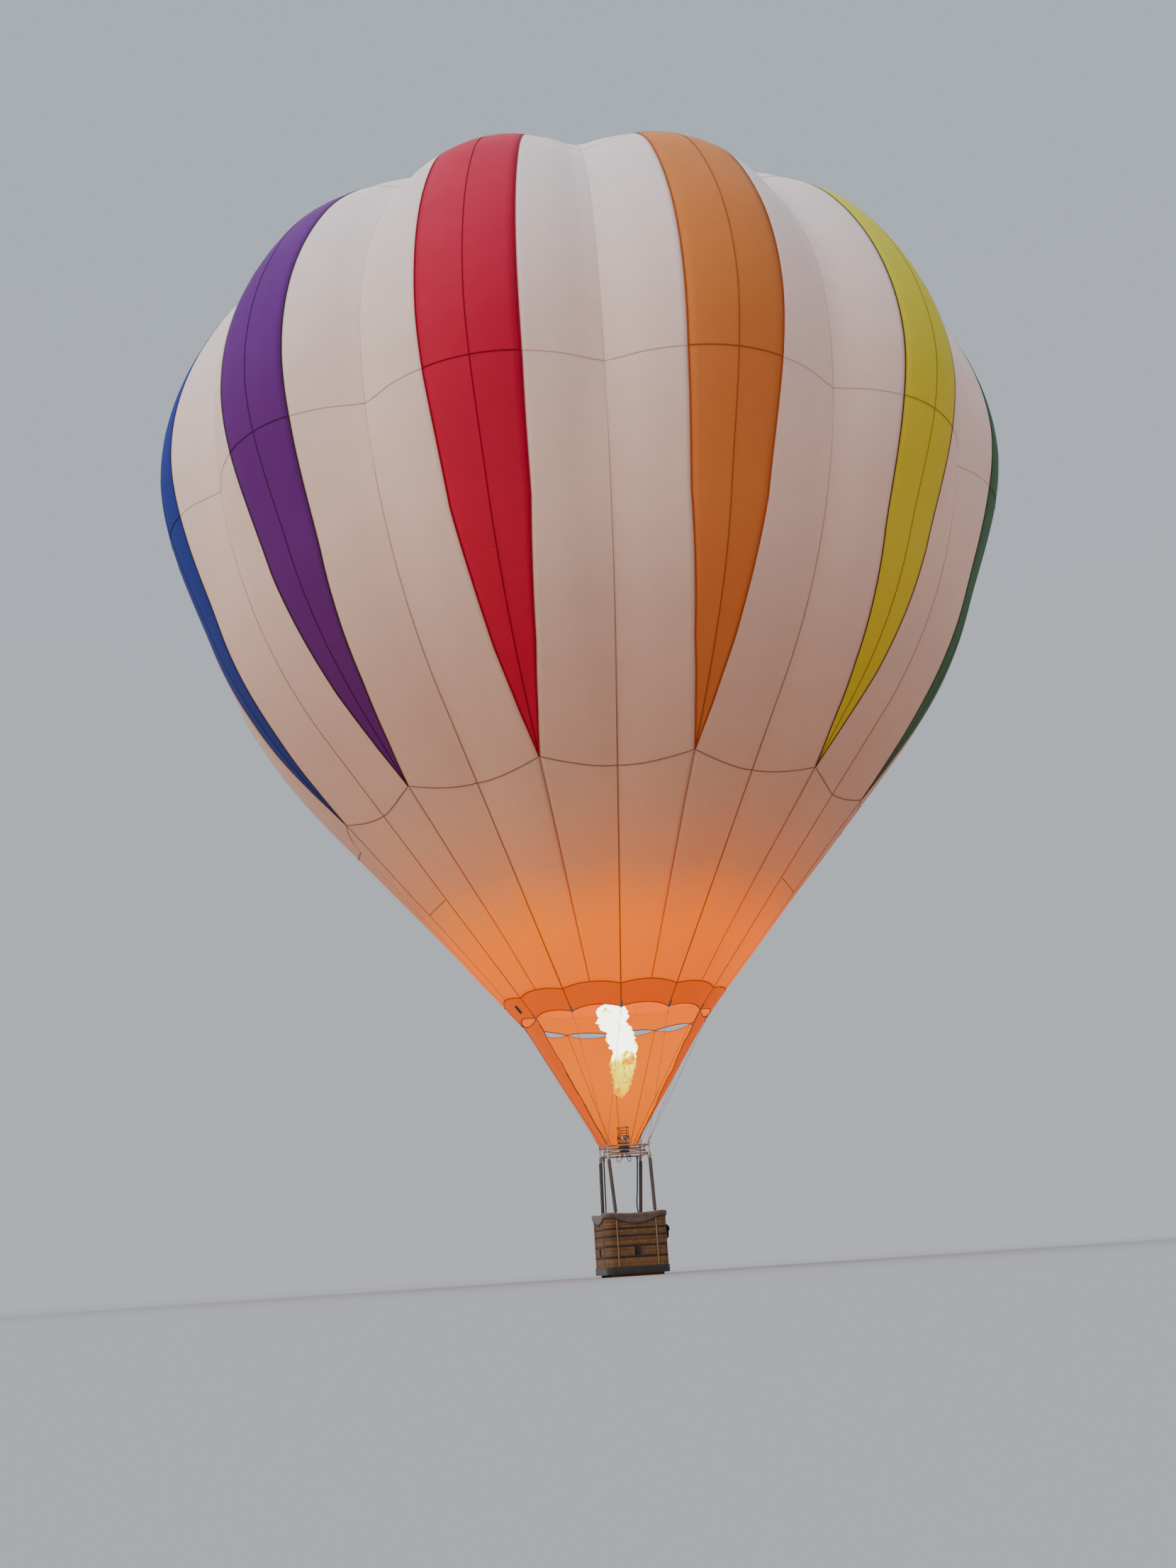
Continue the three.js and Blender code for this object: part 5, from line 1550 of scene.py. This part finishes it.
def parachute():
    """Shallow dome of cloth under the vent, carried by the valve"""
    vent = tape_spot(VENT_PLACE)[1]
    ring, edge, inner, outer = vent + 0.25, vent - 0.018, 0.058, 2.05
    under = ring - 0.028
    shoulder, level = tape_spot(2.82)
    fall = (vent - level) / (shoulder - VENT_RADIUS)
    profile = [(inner, under - 0.008), (VENT_RADIUS, edge - 0.004), (outer, edge - fall * 0.35)]
    rows = []
    for reach in [inner + (outer - inner) * i / 28 for i in range(28, -1, -1)]:
        row = []
        belly = -0.012 * math.sin(math.pi * min(1, reach / outer)) ** 0.7
        for j in range(145):
            turn = j / 144 * TURN
            x, y = reach * math.sin(GORE_PHASE + turn), -reach * math.cos(GORE_PHASE + turn)
            sag = belly * (0.5 - 0.5 * math.cos(12 * turn))
            row.append(((x, y, between(profile, reach) + sag), (reach * turn, reach), 0.0,
                        0.4 * seam_nearness(abs(j % 12 - 6) * reach * 0.01, 0.1)))
        rows.append(row)
    dome = thickened(smooth(closed(laid("parachute_cloth", rows, *CLOTH_MARKS)), 60))
    dress(dome, "white_cloth", "parachute_valve", body="valve")
    boss = [rod((0, 0, under - 0.02), (0, 0, ring - 0.0125), 0.055, 32, 0.004),
            rod((0, 0, under - 0.014), (0, 0, under - 0.004), 0.09, 32, 0.002)]
    dress(joined("parachute_boss", boss), "grey_webbing", slot="white_cloth", body="valve")


parachute()


# Flame, and the lamps inside the envelope

FLAME_TONES = [(0.0, (0.34, 0.1, 0.0)), (0.22, (0.36, 0.22, 0.0)), (0.4, (0.42, 0.32, 0.0)),
               (0.58, (0.66, 0.56, 0.06)), (0.72, (1, 0.92, 0.55)), (0.86, (1, 1, 0.9))]
FLAME_GIRTH = [(0, 0.11), (0.15, 0.145), (0.45, 0.21), (0.7, 0.21), (0.85, 0.26), (1, 0.27)]
FLAME_WARMTH = [(0, 0.12), (0.12, 0.36), (0.38, 0.5), (0.5, 0.95), (1, 1.05)]
FLAME_LEAN = [(0, 0.02), (0.45, 0.11), (0.7, 0.04), (1, -0.12)]


def burning(name):
    """The flame's own light, by the mark of its warmth, with a little noise"""
    tree, shader = blank(name)
    rough = sums(tree, "SUBTRACT", mottle(tree, 6.0, 4.0), 0.5)
    hot = sums(tree, "ADD", read(tree, "warmth"), sums(tree, "MULTIPLY", rough, 0.5))
    feed(tree, shader, {"Base Color": (0.02, 0.01, 0, 1), "Specular IOR Level": 0.0, "Emission Strength": 5.0,
                        "Emission Color": ramped(tree, hot, FLAME_TONES)})


def flame():
    """Burner flame in the mouth: yellow at its foot and on its licks, white above"""
    rows = []
    for share in [i / 150 for i in range(151)]:
        shut = math.sin(math.pi * share / 0.16) if share < 0.08 else 1.0
        if share > 0.9:
            shut = math.sqrt(max(0.0, 1 - ((share - 0.9) / 0.1) ** 2))
        girth, lean = between(FLAME_GIRTH, share) * shut, between(FLAME_LEAN, share)
        row = []
        for angle in [j / 80 * TURN for j in range(81)]:
            around = Vector((math.cos(angle), math.sin(angle), 0))
            lick = 0.55 * noise.noise(around * 1.4 + Vector((0, 0, share * 7)))
            lick += 0.5 * noise.noise(around * 3.4 + Vector((4, 0, share * 17)))
            lick += 0.28 * noise.noise(around * 6 + Vector((9, 3, share * 30)))
            radius = max(0.003, girth * (1 + lick))
            tongue = 0.12 * noise.noise(around * 2.4 + Vector((1, 7, share * 3))) * share
            row.append(((radius * around.x + lean, radius * around.y, 3.14 + 1.72 * share + tongue),
                        max(0.0, between(FLAME_WARMTH, share) - 1.3 * max(0.0, lick - 0.12))))
        rows.append(row)
    piece = smooth(closed(laid("burner_flame", rows, "warmth")), 80)
    dress(piece, "flame", slot="burner_steel", body="burner")


def lamp(name, kind, energy, tone, **settings):
    """A lamp of the studio; returns its stand"""
    light = bpy.data.lights.new(name, kind)
    light.energy = energy
    light.color = tone
    for key, value in settings.items():
        setattr(light, key, value)
    stand = bpy.data.objects.new(name, light)
    bpy.context.collection.objects.link(stand)
    return stand


burning("flame")
flame()
lamp("flame_light", "POINT", 60, (1.0, 0.36, 0.06), shadow_soft_size=0.35).location.z = 5.4 - LIFT_CENTRE
lamp("inside_light", "POINT", 1300, (1.0, 0.56, 0.28), shadow_soft_size=1.5).location.z = 11.5 - LIFT_CENTRE


# Studio

def studio():
    """Plain floor, plain pale surroundings and a soft key light"""
    deselect()
    bpy.ops.mesh.primitive_grid_add(x_subdivisions=4, y_subdivisions=4, size=1600, location=LOWERING)
    floor = settle(fresh("studio_floor"))
    tree, shader = blank("studio_floor")
    feed(tree, shader, {"Base Color": (0.36, 0.37, 0.385, 1), "Roughness": 1.0, "Specular IOR Level": 0.0})
    floor.data.materials.append(FINISH["studio_floor"])
    world = bpy.data.worlds.new("studio")
    bpy.context.scene.world = world
    world.use_nodes = True
    tree = world.node_tree
    height = put(tree, "SeparateXYZ", {0: put(tree, "TexCoord").outputs["Generated"]}).outputs[2]
    sky = ramped(tree, height, [(0.0, (0.22, 0.227, 0.24)), (0.7, (0.2, 0.225, 0.26)),
                                (0.85, (0.8, 0.82, 0.86))])
    feed(tree, tree.nodes["Background"], {0: sky, 1: 2.4})
    key = lamp("key", "SUN", 2.1, (1.0, 0.97, 0.94), angle=math.radians(50))
    key.rotation_euler = Vector((0.78, 0.44, -0.45)).to_track_quat("-Z", "Y").to_euler()


def photo_camera():
    """The camera where the photograph was taken, just above the floor"""
    yaw, pitch, roll = 0.1994, 0.2981, 0.0652
    ahead_flat = Vector((math.sin(yaw), math.cos(yaw), 0))
    right_flat = Vector((math.cos(yaw), -math.sin(yaw), 0))
    ahead = ahead_flat * math.cos(pitch) + Vector((0, 0, math.sin(pitch)))
    above = -ahead_flat * math.sin(pitch) + Vector((0, 0, math.cos(pitch)))
    right = right_flat * math.cos(roll) - above * math.sin(roll)
    up = right_flat * math.sin(roll) + above * math.cos(roll)
    turn = Matrix((right, up, -ahead)).transposed()
    lens = bpy.data.cameras.new("photo_camera")
    lens.sensor_fit = "AUTO"
    lens.sensor_width = 36
    lens.lens = 36 * 2240.9 / 2212
    lens.clip_end = 2000
    eye = bpy.data.objects.new("photo_camera", lens)
    bpy.context.collection.objects.link(eye)
    eye.matrix_world = Matrix.Translation((-6.110, -29.096, -13.8998)) @ turn.to_4x4()
    bpy.context.scene.camera = eye


studio()
photo_camera()
